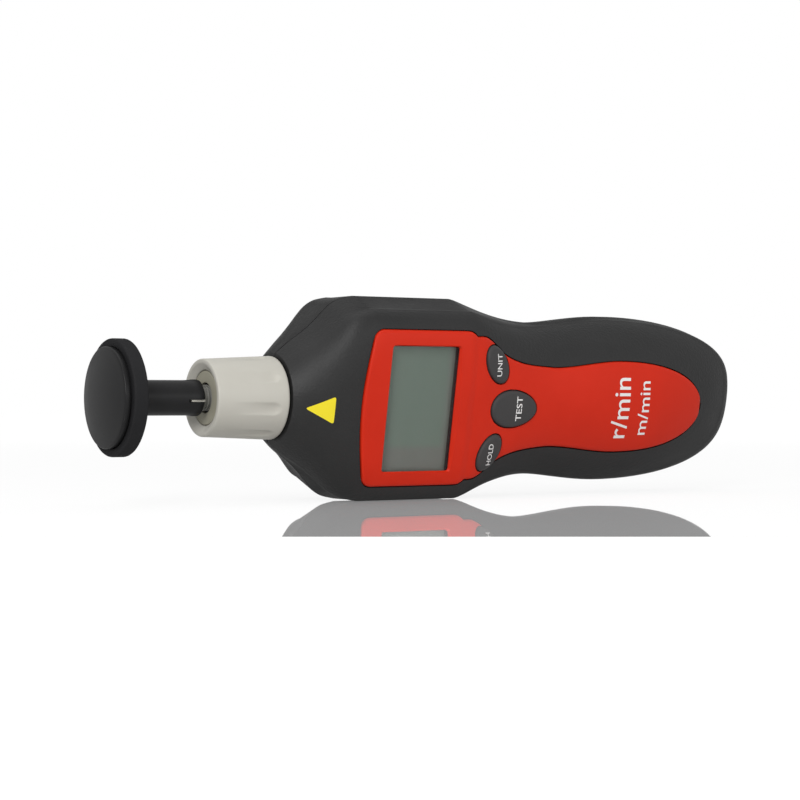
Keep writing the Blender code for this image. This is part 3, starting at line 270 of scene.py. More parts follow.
def endTree(tree, given, geometry):  # the export drops instances, so they are made real before the finish
    real = addNode(tree, "GeometryNodeRealizeInstances", {"Geometry": geometry})
    painted = addNode(tree, "GeometryNodeSetMaterial", {
        "Geometry": real.outputs[0], "Material": given["Finish"]})
    addNode(tree, "NodeGroupOutput", {0: painted.outputs[0]})
    return tree


def runTree(piece, tree, values):
    step = piece.modifiers.new(tree.name, "NODES")
    step.node_group = tree
    for item in tree.interface.items_tree:
        if item.item_type == "SOCKET" and item.in_out == "INPUT" and item.name in values:
            step[item.identifier] = values[item.name]
    return takeResult(piece)


def turnedTree():  # spins the piece's own line of (x, radius) points about the spindle line
    tree, given = newTree("turned piece", [("Turns", "Int", 96)])
    size = addNode(tree, "GeometryNodeAttributeDomainSize", {0: given["Geometry"]}, component="MESH")
    count = size.outputs[0]
    rows = calc(tree, "ADD", given["Turns"], 1.0)
    sheet = addNode(tree, "GeometryNodeMeshGrid", {"Vertices X": rows, "Vertices Y": count})
    index = addNode(tree, "GeometryNodeInputIndex").outputs[0]
    row = calc(tree, "FLOOR", calc(tree, "DIVIDE", calc(tree, "ADD", index, 0.5), count))
    column = calc(tree, "SUBTRACT", index, calc(tree, "MULTIPLY", row, count))
    where = addNode(tree, "GeometryNodeInputPosition").outputs[0]
    wanted = {"Geometry": given["Geometry"], "Value": where, "Index": column}
    line = addNode(tree, "GeometryNodeSampleIndex", wanted, data_type="FLOAT_VECTOR", domain="POINT")
    x, radius, unused = addNode(tree, "ShaderNodeSeparateXYZ", {0: line.outputs[0]}).outputs
    turn = calc(tree, "MULTIPLY", calc(tree, "DIVIDE", row, given["Turns"]), 2 * math.pi)
    y = calc(tree, "MULTIPLY", radius, calc(tree, "COSINE", turn))
    z = calc(tree, "MULTIPLY", radius, calc(tree, "SINE", turn))
    point = addNode(tree, "ShaderNodeCombineXYZ", {"X": x, "Y": y, "Z": z}).outputs[0]
    spun = addNode(tree, "GeometryNodeSetPosition", {"Geometry": sheet.outputs["Mesh"], "Position": point})
    closed = addNode(tree, "GeometryNodeMergeByDistance", {"Geometry": spun.outputs[0], "Distance": 0.001})
    return endTree(tree, given, closed.outputs[0])


def flutedTree():  # presses shallow finger flutes into a turned piece, deepest by its collar
    tree, given = newTree("finger flutes", [
        ("Flutes", "Int", 8), ("Turn", "Float", 0.0), ("Start", "Float", 0.0), ("End", "Float", 1.0),
        ("Half Width", "Float", 2.0), ("Depth", "Float", 0.7), ("Scoop", "Float", 1.5),
        ("Least Radius", "Float", 10.0)])
    where = addNode(tree, "GeometryNodeInputPosition").outputs[0]
    x, y, z = addNode(tree, "ShaderNodeSeparateXYZ", {0: where}).outputs
    radius = calc(tree, "SQRT", calc(tree, "ADD", calc(tree, "MULTIPLY", y, y), calc(tree, "MULTIPLY", z, z)))
    turn = calc(tree, "SUBTRACT", calc(tree, "ARCTAN2", z, calc(tree, "MULTIPLY", y, -1.0)), given["Turn"])
    pitch = calc(tree, "DIVIDE", 2 * math.pi, given["Flutes"])
    nearest = calc(tree, "MULTIPLY", calc(tree, "ROUND", calc(tree, "DIVIDE", turn, pitch)), pitch)
    aside = calc(tree, "MULTIPLY", calc(tree, "SUBTRACT", turn, nearest), radius)
    across = calc(tree, "DIVIDE", aside, given["Half Width"])
    fade = remap(tree, x, 0.0, 1.0, given["Start"], given["End"])
    along = remap(tree, x, 0.0, 1.0, calc(tree, "SUBTRACT", given["End"], given["Scoop"]), given["End"])
    reach = calc(tree, "ADD", calc(tree, "MULTIPLY", across, across), calc(tree, "MULTIPLY", along, along))
    hollow = calc(tree, "POWER", calc(tree, "MAXIMUM", calc(tree, "SUBTRACT", 1.0, reach), 0.0), 0.8)
    beyond = calc(tree, "GREATER_THAN", radius, given["Least Radius"])
    depth = calc(tree, "MULTIPLY", hollow, fade, given["Depth"], beyond)
    shrink = calc(tree, "SUBTRACT", 1.0, calc(tree, "DIVIDE", depth, calc(tree, "MAXIMUM", radius, 0.001)))
    y, z = calc(tree, "MULTIPLY", y, shrink), calc(tree, "MULTIPLY", z, shrink)
    point = addNode(tree, "ShaderNodeCombineXYZ", {"X": x, "Y": y, "Z": z}).outputs[0]
    pressed = addNode(tree, "GeometryNodeSetPosition", {"Geometry": given["Geometry"], "Position": point})
    return endTree(tree, given, pressed.outputs[0])


def groovedTree():  # cuts a row of straight finger grooves across a lid
    tree, given = newTree("finger grooves", [
        ("Grooves", "Int", 5), ("First", "Vector", (0, 0, 0)), ("Step", "Vector", (-2, 0, 0)),
        ("Length", "Float", 14.0), ("Width", "Float", 1.0)])
    row = addNode(tree, "GeometryNodeMeshLine", {
        "Count": given["Grooves"], "Start Location": given["First"], "Offset": given["Step"]})
    bar = addNode(tree, "GeometryNodeMeshCylinder", {
        "Vertices": 24, "Radius": calc(tree, "MULTIPLY", given["Width"], 0.5), "Depth": given["Length"]})
    bars = addNode(tree, "GeometryNodeInstanceOnPoints", {
        "Points": row.outputs[0], "Instance": bar.outputs["Mesh"]})
    real = addNode(tree, "GeometryNodeRealizeInstances", {0: bars.outputs[0]})
    cut = addNode(tree, "GeometryNodeMeshBoolean", {"Mesh 1": given["Geometry"], "Mesh 2": real.outputs[0]},
                  operation="DIFFERENCE", solver="EXACT")
    return endTree(tree, given, cut.outputs["Mesh"])


def scatteredTree():  # sets a copy of one small part at every point of the piece
    tree, given = newTree("repeated part", [("Part", "Object", None)])
    part = addNode(tree, "GeometryNodeObjectInfo", {"Object": given["Part"]}).outputs["Geometry"]
    copies = addNode(tree, "GeometryNodeInstanceOnPoints", {"Points": given["Geometry"], "Instance": part})
    return endTree(tree, given, copies.outputs[0])


turned, fluted, grooved, scattered = turnedTree(), flutedTree(), groovedTree(), scatteredTree()


def softened(corners):  # corners of (x, radius, rounding) become a line with rounded corners
    line = []
    for k, (x, r, rounding) in enumerate(corners):
        here = Vector((x, r))
        if not rounding:
            line.append(here)
            continue
        before = Vector(corners[k - 1][:2]) - here
        after = Vector(corners[(k + 1) % len(corners)][:2]) - here
        reach = min(rounding, before.length * 0.49, after.length * 0.49)
        start, end = here + before.normalized() * reach, here + after.normalized() * reach
        for s in (0, 0.25, 0.5, 0.75, 1):
            line.append(start * (1 - s) ** 2 + here * 2 * s * (1 - s) + end * s * s)
    return line


def turnedPiece(name, corners, finish, turns=96):
    line = softened(corners)
    line.append(line[0])
    mesh = bpy.data.meshes.new(name)
    mesh.from_pydata([(p.x, p.y, 0) for p in line], [(k, k + 1) for k in range(len(line) - 1)], [])
    made = runTree(addObject(name, mesh), turned, {"Turns": turns, "Finish": finish})
    tidyMesh(made.data, 0.001)
    return made


# finishes

def startFinish(name, settings):
    made = bpy.data.materials.new(name)
    made.use_nodes = True
    tree = made.node_tree
    shader = tree.nodes["Principled BSDF"]
    for socket, value in settings.items():
        shader.inputs[socket].default_value = value
    return made, tree, shader, tree.nodes.new("ShaderNodeTexCoord").outputs["Object"]


def noiseOn(tree, coords, scale, detail=3.0, roughness=0.55):
    values = {"Vector": coords, "Scale": scale, "Detail": detail, "Roughness": roughness}
    return addNode(tree, "ShaderNodeTexNoise", values).outputs["Fac"]


def shades(tree, source, dark, light, low=0.3, high=0.7):
    ramp = addNode(tree, "ShaderNodeValToRGB", {"Fac": source})
    for spot, position, colour in zip(ramp.color_ramp.elements, (low, high), (dark, light)):
        spot.position = position
        spot.color = (*colour, 1)
    return ramp.outputs["Color"]


def feed(tree, shader, sources):
    for socket, source in sources.items():
        tree.links.new(source, shader.inputs[socket])


def mouldedFinish(name, look):  # clouded colour, uneven gloss and, on plastic and rubber, a fine grain
    made, tree, shader, coords = startFinish(name, look.get("shader", {}))
    clouds = noiseOn(tree, coords, look.get("cloud", 60.0))
    feed(tree, shader, {"Base Color": shades(tree, clouds, look["dark"], look["light"]),
                        "Roughness": remap(tree, clouds, *look["roughness"])})
    if "grain" in look:
        scale, depth, strength = look["grain"]
        grain = noiseOn(tree, coords, scale, 2.0, 0.6)
        bump = addNode(tree, "ShaderNodeBump", {"Strength": strength, "Distance": depth, "Height": grain})
        feed(tree, shader, {"Normal": bump.outputs["Normal"]})
    if "sheen" in look:  # shine face on, and the little that is left of it at a low angle
        aslant = addNode(tree, "ShaderNodeLayerWeight", {"Blend": 0.5}).outputs["Facing"]
        feed(tree, shader, {"Specular IOR Level": remap(tree, aslant, *look["sheen"], 0.30, 0.72)})
    return made


def metalFinish(name, look):  # fine turning lines round the spindle line
    made, tree, shader, coords = startFinish(name, {"Metallic": 1.0})
    squeeze = {"Vector": coords, "Scale": turningLines["stretch"]}
    stretched = addNode(tree, "ShaderNodeMapping", squeeze, vector_type="POINT").outputs[0]
    lines = noiseOn(tree, stretched, turningLines["scale"], 4.0, 0.6)
    feed(tree, shader, {"Base Color": shades(tree, lines, look["dark"], look["light"]),
                        "Roughness": remap(tree, lines, *look["roughness"])})
    return made


finishLooks = {  # two shades, a range of roughness, and the grain's scale, depth and strength
    "softBlackPlastic": {"dark": (0.0105, 0.0105, 0.0106), "light": (0.0145, 0.0145, 0.0146),
                         "roughness": (0.42, 0.52), "grain": (1400.0, 0.00012, 0.9), "sheen": (0.26, 0.03)},
    "redPanelPlastic": {"dark": (0.555, 0.018, 0.003), "light": (0.595, 0.021, 0.005),
                        "roughness": (0.38, 0.45), "grain": (2600.0, 0.00004, 0.3), "sheen": (0.17, 0.04)},
    "keyRubber": {"dark": (0.036, 0.035, 0.036), "light": (0.043, 0.042, 0.042), "roughness": (0.55, 0.62),
                  "grain": (5200.0, 0.00004, 0.3), "shader": {"Specular IOR Level": 0.25}},
    "paleAdapterPlastic": {"dark": (0.470, 0.455, 0.405), "light": (0.500, 0.485, 0.435),
                           "roughness": (0.38, 0.46), "grain": (3000.0, 0.00003, 0.25),
                           "sheen": (0.35, 0.10)},
    "wheelBlackPlastic": {"dark": (0.010, 0.010, 0.0105), "light": (0.0135, 0.0135, 0.014),
                          "roughness": (0.28, 0.36), "grain": (3200.0, 0.00004, 0.3), "sheen": (0.13, 0.03)},
    "tyreRubber": {"dark": (0.013, 0.013, 0.014), "light": (0.017, 0.017, 0.018), "roughness": (0.62, 0.72),
                   "grain": (4200.0, 0.00006, 0.4), "sheen": (0.10, 0.02)},
    # the insert's own darker, yellower tone, made darker still as painted shade of the recessed dish
    "insertToneAndPaintedShade": {"dark": (0.295, 0.280, 0.215), "light": (0.325, 0.310, 0.245),
                             "roughness": (0.45, 0.55), "grain": (3000.0, 0.00003, 0.25),
                             "sheen": (0.25, 0.05)},
    "ribbedHubRubber": {"dark": (0.15, 0.148, 0.135), "light": (0.21, 0.207, 0.190),
                        "roughness": (0.45, 0.55), "grain": (4200.0, 0.00004, 0.5)},
    "whiteCarrierPlastic": {"dark": (0.66, 0.66, 0.64), "light": (0.72, 0.72, 0.70),
                            "roughness": (0.45, 0.55), "grain": (2600.0, 0.00003, 0.5)},
    "switchPlastic": {"dark": (0.018, 0.018, 0.018), "light": (0.026, 0.026, 0.026),
                      "roughness": (0.45, 0.55), "grain": (3600.0, 0.00003, 0.5)},
    "cellJacket": {"dark": (0.10, 0.12, 0.18), "light": (0.14, 0.16, 0.23), "roughness": (0.30, 0.38),
                   "grain": (1800.0, 0.00002, 0.5)},
    "whitePrint": {"dark": (0.74, 0.73, 0.72), "light": (0.80, 0.80, 0.79), "roughness": (0.50, 0.58),
                   "grain": (5000.0, 0.00001, 0.1)},
    "yellowPrint": {"dark": (0.80, 0.66, 0.020), "light": (0.84, 0.70, 0.030), "roughness": (0.45, 0.52),
                    "grain": (5000.0, 0.00001, 0.1), "shader": {"Specular IOR Level": 0.25}},
    "clearWindow": {"dark": (0.05, 0.06, 0.05), "light": (0.06, 0.07, 0.06), "roughness": (0.05, 0.09),
                    "cloud": 80.0, "shader": {"Alpha": 0.12, "IOR": 1.49, "Specular IOR Level": 0.5}},
    "filterGlass": {"dark": (0.16, 0.008, 0.008), "light": (0.22, 0.012, 0.012), "roughness": (0.08, 0.14),
                    "cloud": 300.0, "shader": {"Coat Weight": 0.6, "Coat Roughness": 0.04, "IOR": 1.5}},
}
finishLooks["lidBlackPlastic"] = finishLooks["softBlackPlastic"]
turningLines = {"scale": 900.0, "stretch": (4.0, 1.0, 1.0)}
metalLooks = {
    "brightSteel": {"dark": (0.50, 0.50, 0.52), "light": (0.62, 0.62, 0.64), "roughness": (0.22, 0.32)},
    "turnedBrass": {"dark": (0.60, 0.42, 0.17), "light": (0.72, 0.52, 0.24), "roughness": (0.25, 0.35)},
}


def boardFinish():  # green laminate with a faint pattern of tracks
    made, tree, shader, coords = startFinish("boardLaminate", {"Coat Weight": 0.3, "Coat Roughness": 0.15})
    cells = addNode(tree, "ShaderNodeTexVoronoi", {"Vector": coords, "Scale": 260.0, "Randomness": 0.2},
                    feature="DISTANCE_TO_EDGE")
    tracks = shades(tree, cells.outputs["Distance"], (0.03, 0.19, 0.07), (0.012, 0.10, 0.035), 0.03, 0.09)
    roughness = remap(tree, noiseOn(tree, coords, 400.0), 0.42, 0.55)
    feed(tree, shader, {"Base Color": tracks, "Roughness": roughness})
    return made


displayLook = {  # a grey-green field with a greyer border on two sides and a dark line of painted shade along one end, in metres
    "field": (0.168, 0.226, 0.184), "fieldPale": (0.174, 0.232, 0.190), "border": (0.190, 0.205, 0.182, 1),
    # edge: painted shade, a dark maroon line standing in for the shadow of the rim's inner wall
    "edge": (0.060, 0.032, 0.036, 1), "borderX": 0.0092, "shadeLineX": 0.0106, "borderZ": 0.0150,
    "blur": 0.0009, "shadeLineBlur": 0.0001,
}


def blended(tree, factor, first, second):
    return addNode(tree, "ShaderNodeMix", {0: factor, 6: first, 7: second}, data_type="RGBA").outputs[2]


def displayFinish():  # blank liquid-crystal glass, with a line of painted shade along one end
    look = displayLook
    made, tree, shader, coords = startFinish("displayGlass", {"Specular IOR Level": 0.5})
    x, y, z = addNode(tree, "ShaderNodeSeparateXYZ", {0: coords}).outputs
    clouds = noiseOn(tree, coords, 30.0)
    field = shades(tree, clouds, look["field"], look["fieldPale"])
    atEnd = remap(tree, x, 0.0, 1.0, look["borderX"] - look["blur"], look["borderX"] + look["blur"])
    atSide = remap(tree, z, 1.0, 0.0, look["borderZ"] - look["blur"], look["borderZ"] + look["blur"])
    framed = blended(tree, calc(tree, "MAXIMUM", atEnd, atSide), field, look["border"])
    # painted shade: a dark line along the end towards the keys, where the rim's inner wall would shade the
    # display
    edge = remap(tree, x, 0.0, 1.0, look["shadeLineX"] - look["shadeLineBlur"], look["shadeLineX"] + look["shadeLineBlur"])
    feed(tree, shader, {"Base Color": blended(tree, edge, framed, look["edge"]),
                        "Roughness": remap(tree, clouds, 0.16, 0.24)})
    return made


finishes = {name: mouldedFinish(name, look) for name, look in finishLooks.items()}
finishes.update({name: metalFinish(name, look) for name, look in metalLooks.items()})
finishes.update({"boardLaminate": boardFinish(), "displayGlass": displayFinish()})
print("finishes ready:", len(finishes))


# housing: two black shells that meet on a seam half way down the sides

housing = {
    "noseX": -39.2, "shoulderX": -16.0, "headEndX": 17.0, "waistX": 47.0, "gripX": 75.0, "tailX": 127.5,
    "endX": 127.25, "tailStartX": 80.0, "noseRadius": 12.7, "headHalf": headHalf, "waistHalf": 23.1,
    "gripHalf": 25.5, "headFace": 18.0, "shellWall": 2.1, "noseWall": 2.8, "tailWall": 6.0, "seam": 0.3,
    "noseHole": 9.3,
    # how the shoulder widens from the nose to the head, as shares of the length and of the rise
    "shoulder": [(0, 0), (0.05, 0.065), (0.18, 0.215), (0.355, 0.395), (0.485, 0.56), (0.59, 0.715),
                 (0.70, 0.86), (0.83, 0.95), (1, 1)],
}
# heights out of the seam: at the nose, the head and the grip, where the rise from the nose ends, where the
# head gives way to the grip, how the rise goes and how sharply the tail falls
profiles = {
    "face": {"nose": housing["noseRadius"], "head": housing["headFace"], "grip": 17.4, "riseEnd": -10.0,
             "change": (17.0, 31.0), "rise": lambda t: 1 - (1 - t) ** 3.6, "fall": 0.62},
    "back": {"nose": housing["noseRadius"], "head": 20.0, "grip": 13.5, "riseEnd": -15.0,
             "change": (12.0, 53.0), "rise": lambda t: 1 - (1 - t) ** 3.2, "fall": 0.5},
    "faceWall": {"nose": 0.0, "head": 10.5, "grip": 2.5, "riseEnd": -16.0,
                 "change": (16.0, 30.0), "rise": ease, "fall": 0.5},
    "backWall": {"nose": 0.0, "head": 13.5, "grip": 2.5, "riseEnd": -14.0,
                 "change": (13.0, 47.0), "rise": lambda t: ease(t ** 0.75), "fall": 0.5},
}


def halfWidth(x):
    h = housing
    if x < h["shoulderX"]:
        rise = alongCurve(h["shoulder"], share(x, h["noseX"], h["shoulderX"]))
        return mix(h["noseRadius"], h["headHalf"], rise)
    if x < h["waistX"]:
        return mix(h["headHalf"], h["waistHalf"], ease(share(x, h["headEndX"], h["waistX"]) ** 0.65))
    if x < h["gripX"]:
        return mix(h["waistHalf"], h["gripHalf"], ease(share(x, h["waistX"], h["gripX"]) ** 0.85))
    return h["gripHalf"] * (1 - share(x, h["gripX"], h["tailX"]) ** 2) ** (1 / 2.8)


def levelAt(name, x):
    p = profiles[name]
    level = mix(p["nose"], p["head"], p["rise"](share(x, housing["noseX"], p["riseEnd"])))
    level += (p["grip"] - p["head"]) * ease(share(x, *p["change"]))
    return level * (1 - share(x, housing["tailStartX"], housing["tailX"]) ** 2) ** p["fall"]


def squareness(x, head, grip):  # 2 is an ellipse, and more is squarer
    h = housing
    toHead, toGrip = ease(share(x, h["noseX"], h["shoulderX"])), ease(share(x, h["headEndX"], h["waistX"]))
    return 2 + (head - 2) * toHead + (grip - head) * toGrip


@lru_cache(maxsize=None)
def sectionAt(x, inset=0.0):  # half width, then for face and back the wall, height, corner and top half width
    step = 0.2
    sizes = []
    for form in (halfWidth, partial(levelAt, "face"), partial(levelAt, "back")):
        slope = (form(x + step) - form(x - step)) / (2 * step)
        sizes.append(form(x) - inset * math.sqrt(1 + slope * slope))
    half, face, back = sizes
    wall, rearWall = min(levelAt("faceWall", x), 0.7 * face), min(levelAt("backWall", x), 0.75 * back)
    return (half, (wall, face, squareness(x, 3.3, 2.0), half - wall * math.tan(lean)),
            (rearWall, back, squareness(x, 3.2, 2.4), half - rearWall * math.tan(lean)))


def riseOf(side, z):
    wall, depth, corner, top = side
    ratio = min(1.0, abs(z) / top)
    return wall + (depth - wall) * (1 - ratio ** corner) ** (1 / corner)


def faceAt(x, z):  # how far the front of the housing stands out at a place in plan
    return riseOf(sectionAt(x)[1], z)


def backAt(x, z):
    return riseOf(sectionAt(x)[2], z)


def quarterOf(side, turns):
    wall, depth, corner, top = side
    points = [(top, wall)]
    for a in map(math.radians, turns):
        across, up = math.cos(a) ** (2 / corner), math.sin(a) ** (2 / corner)
        points.append((top * across, wall + (depth - wall) * up))
    return points


def ringAt(x, inset, faceTurns, backTurns):
    half, front, rear = sectionAt(x, inset)
    face, back = quarterOf(front, faceTurns), quarterOf(rear, backTurns)
    points = [(0, half)] + [(-n, z) for z, n in face] + [(-front[1], 0)]
    points += [(-n, -z) for z, n in reversed(face)] + [(0, -half)]
    points += [(n, -z) for z, n in back] + [(rear[1], 0)]
    return [(x, y, z) for y, z in points + [(n, z) for z, n in reversed(back)]]


def outerForm(name):
    h = housing
    places = [h["noseX"]] + spread(h["noseX"], h["shoulderX"], 26) + spread(h["shoulderX"], h["headEndX"], 12)
    places += spread(h["headEndX"], h["waistX"], 26) + spread(h["waistX"], h["tailStartX"], 16)
    places += slowing(h["tailStartX"], h["endX"], 30)
    faceTurns = (1.5, 3.5, 6, 9, 13, 17.5, 22.5, 28, 34, 40, 46.5, 53, 60, 67, 74, 81)
    backTurns = (1.5, 3.5, 6, 9.5, 14, 19, 25, 32, 40, 48, 56, 64, 72, 80)
    return loftPiece(name, [ringAt(x, 0.0, faceTurns, backTurns) for x in places])


def innerForm(name):
    h = housing
    start = h["noseX"] + h["noseWall"]
    places = [start] + spread(start, h["shoulderX"], 8) + spread(h["shoulderX"], h["headEndX"], 3)
    places += spread(h["headEndX"], h["waistX"], 6) + spread(h["waistX"], h["gripX"], 3)
    places += [mix(h["gripX"], h["tailX"] - h["tailWall"], k) for k in (0.3, 0.55, 0.75, 0.9, 1)]
    faceTurns, backTurns = (5, 12, 22, 34, 48, 64), (8, 20, 36, 54, 72)
    return loftPiece(name, [ringAt(x, h["shellWall"], faceTurns, backTurns) for x in places])


def shellPiece(name, front):
    h = housing
    wide, before = 60.0, 20.0  # past the housing across it and at its ends
    low, high = (-wide, h["seam"] / 2) if front else (-h["seam"] / 2, wide)
    piece = outerForm(name)
    other = blockPiece("other half", h["noseX"] - before, h["tailX"] + before, low, high, -wide, wide)
    holeStart, holeEnd = h["noseX"] - 2, h["noseX"] + h["noseWall"] + 1
    hole = turnedPiece("hole", [
        (holeStart, 0, 0), (holeStart, h["noseHole"], 0), (holeEnd, h["noseHole"], 0), (holeEnd, 0, 0)],
        finishes["softBlackPlastic"], 72)
    return workWith(piece, [innerForm("hollow"), other, hole])


# face panel: a red plate let into the front shell, with a raised rim round the display

panel = {
    "startX": -17.8, "bulge": 2.3, "swell": 9.0, "corner": 3.5, "headHalf": 22.4, "narrowX": 13.0,
    "waistHalf": 11.8, "gripX": 72.0, "gripHalf": 13.9, "endX": 105.6, "endTrim": 0.02, "pocket": 1.3,
    "proudHead": 0.7, "proudGrip": 0.35, "edgeRound": 0.8, "rimEndX": 14.5, "rimSlope": 3.0,
    # how it narrows from the display to the waist, as shares of the length and of the width
    "neck": [(0, 1), (0.05, 0.99), (0.095, 0.93), (0.125, 0.855), (0.16, 0.86), (0.21, 0.85), (0.26, 0.79),
             (0.32, 0.66), (0.38, 0.49), (0.46, 0.33), (0.56, 0.2), (0.66, 0.115), (0.8, 0.05), (1, 0)],
}


def panelHalf(x, grow=0.0):
    p, waistX = panel, housing["waistX"]
    if x < p["narrowX"]:
        half = p["headHalf"]
    elif x < waistX:
        half = mix(p["waistHalf"], p["headHalf"], alongCurve(p["neck"], share(x, p["narrowX"], waistX)))
    elif x < p["gripX"]:
        half = mix(p["waistHalf"], p["gripHalf"], ease(share(x, waistX, p["gripX"])))
    else:
        half = p["gripHalf"] * (1 - share(x, p["gripX"], p["endX"]) ** 2.2) ** 0.48
    if x < p["startX"] + p["corner"]:
        short = p["corner"] - (x - p["startX"])
        half -= p["corner"] - math.sqrt(max(0.0, p["corner"] ** 2 - short ** 2))
    return half + grow


def panelTop(x, z):  # height of the panel's outer face, away from its rounded edge
    beyondRim = ease(share(x, panel["rimEndX"], panel["rimEndX"] + panel["rimSlope"]))
    return faceAt(x, z) + mix(panel["proudHead"], panel["proudGrip"], beyondRim)


def panelPlate(name, grow, low, high):
    p, waistX = panel, housing["waistX"]
    cornerEnd, rimEnd = p["startX"] + p["corner"], p["rimEndX"] + p["rimSlope"]
    rows = [p["startX"] + p["corner"] * k for k in (0, 0.04, 0.1, 0.18, 0.28, 0.4, 0.55, 0.75, 1)]
    rows += spread(cornerEnd, p["narrowX"], 10) + spread(p["narrowX"], rimEnd, 14)
    rows += spread(rimEnd, waistX, 34) + spread(waistX, p["gripX"], 10) + slowing(p["gripX"], p["endX"], 26)
    rows[-1] -= p["endTrim"]  # its last row keeps a little width
    inward = [p["edgeRound"] * (1 - math.cos(math.pi / 2 * k / 6)) for k in range(7)]
    fractions = [0.94, 0.86, 0.76, 0.64, 0.5, 0.34, 0.17, 0.0]
    width = 2 * (len(inward) + len(fractions)) - 1
    points, faces = [], []
    for upper in (True, False):
        for i, x in enumerate(rows):
            half = panelHalf(x, grow)
            edge = min(1.0, half * 0.45 / p["edgeRound"])
            line = [(half - d * edge, d * edge) for d in inward]
            line += [((half - p["edgeRound"] * edge) * f, p["edgeRound"]) for f in fractions]
            line += [(-z, d) for z, d in reversed(line[:-1])]
            swell = p["bulge"] * (1 - ease(share(x, p["startX"], p["startX"] + p["swell"])))
            push = -grow if i == 0 else grow if i == len(rows) - 1 else 0
            for z, distance in line:
                px = x + push - swell * (1 - (z / half) ** 2)
                reach = min(distance, x - p["startX"], (p["endX"] - x) * 0.5)
                points.append((px, -(high if upper else low)(px, z, reach), z))
    under = len(rows) * width
    for i in range(len(rows) - 1):
        for j in range(width - 1):
            a = i * width + j
            faces.append((a, a + 1, a + width + 1, a + width))
            faces.append((under + a, under + a + width, under + a + width + 1, under + a + 1))
        for j in (0, width - 1):
            a = i * width + j
            faces.append((a, a + width, under + a + width, under + a))
    for j in range(width - 1):
        for i in (0, len(rows) - 1):
            a = i * width + j
            faces.append((a, under + a, under + a + 1, a + 1))
    return newPiece(name, points, faces)


def roundedRise(distance):
    r = panel["edgeRound"]
    return math.sqrt(max(0.0, r ** 2 - (r - min(distance, r)) ** 2)) - r


# display and keys

display = {"x": -0.4, "halfLength": 11.2, "halfWidth": 18.0, "bevel": 1.1, "corner": 0.8, "cornerGrow": 0.55,
           "seat": 17.25, "overlap": 1.2, "moduleOverlap": 1.7, "moduleCorner": 1.0}
smallKey = {"x": 24.5, "z": 13.0, "long": 5.9, "short": 3.7, "taper": 0.0, "turn": 63.0}
keys = {
    "measure": {"x": 31.6, "z": 0.0, "long": 8.1, "short": 5.4, "taper": 0.12, "turn": 0.0, "side": 1,
                "body": "measure_key"},
    "upper": {**smallKey, "side": 1, "body": "upper_key"},
    "lower": {**smallKey, "side": -1, "body": "lower_key"},
}
keyFit = {"proud": 0.9, "clearance": 0.35, "flange": 0.9, "flangeThickness": 1.0, "edge": 0.75, "crown": 0.25,
          "crownLift": 0.2, "sides": 72, "shellHoleFloor": 10.7, "panelHoleFloor": 8.6}


def displayOutline(grow, corner):
    return roundedOutline(display["x"], display["halfLength"] + grow, display["halfWidth"] + grow, corner)


def keyOutline(key, grow=0.0):
    points = []
    turn = math.radians(key["turn"])
    for k in range(keyFit["sides"]):
        a = 2 * math.pi * k / keyFit["sides"]
        along = (key["long"] + grow) * math.cos(a)
        across = (key["short"] + grow) * math.sin(a) * (1 - key["taper"] * math.cos(a))
        x = along * math.cos(turn) + across * math.sin(turn)
        z = across * math.cos(turn) - along * math.sin(turn)
        points.append((key["x"] + x, key["side"] * (key["z"] + z)))
    return points


def keyHoles(floor):
    outlines = [keyOutline(key, keyFit["clearance"]) for key in keys.values()]
    return asOne([prismPiece("hole", outline, floor, outside) for outline in outlines])


def keyCrown(x, z, size):  # height of a key's crown, which falls a little towards its rim, where size is 1
    return panelTop(x, z) + keyFit["proud"] + keyFit["crown"] * (keyFit["crownLift"] - size ** 2)


def keyPiece(name, key):
    outline, flange = keyOutline(key), keyOutline(key, keyFit["flange"])
    cx, cz = key["x"], key["side"] * key["z"]
    seat = min(riseOf(sectionAt(x, housing["shellWall"])[1], z) for x, z in flange) - seatGap
    rings = [[(x, keyFit["flangeThickness"] - seat, z) for x, z in flange]]
    rings += [[(x, -seat, z) for x, z in line] for line in (flange, outline)]
    edge, turns = keyFit["edge"], [math.pi / 2 * k / 6 for k in range(7)]
    steps = [(1.0 - edge / key["short"] * (1 - math.cos(a)), edge * (1 - math.sin(a))) for a in turns]
    steps += [(steps[-1][0] * k, 0.0) for k in (0.85, 0.65, 0.45, 0.25, 0.08)]
    for size, drop in steps:
        ring = [(cx + (x - cx) * size, cz + (z - cz) * size) for x, z in outline]
        rings.append([(x, drop - keyCrown(x, z, size), z) for x, z in ring])
    return loftPiece(name, rings)


frontShell = shellPiece("frontShell", True)
workWith(frontShell, [
    panelPlate("pocket", seatGap, lambda x, z, d: faceAt(x, z) - panel["pocket"], lambda x, z, d: outside),
    prismPiece("opening", displayOutline(display["moduleOverlap"] + 2 * seatGap, display["moduleCorner"]),
               keyFit["panelHoleFloor"], outside),
    keyHoles(keyFit["shellHoleFloor"])])
place(frontShell, "case", finishes["softBlackPlastic"], ["front_case"])
print("front shell:", len(frontShell.data.polygons), "faces")

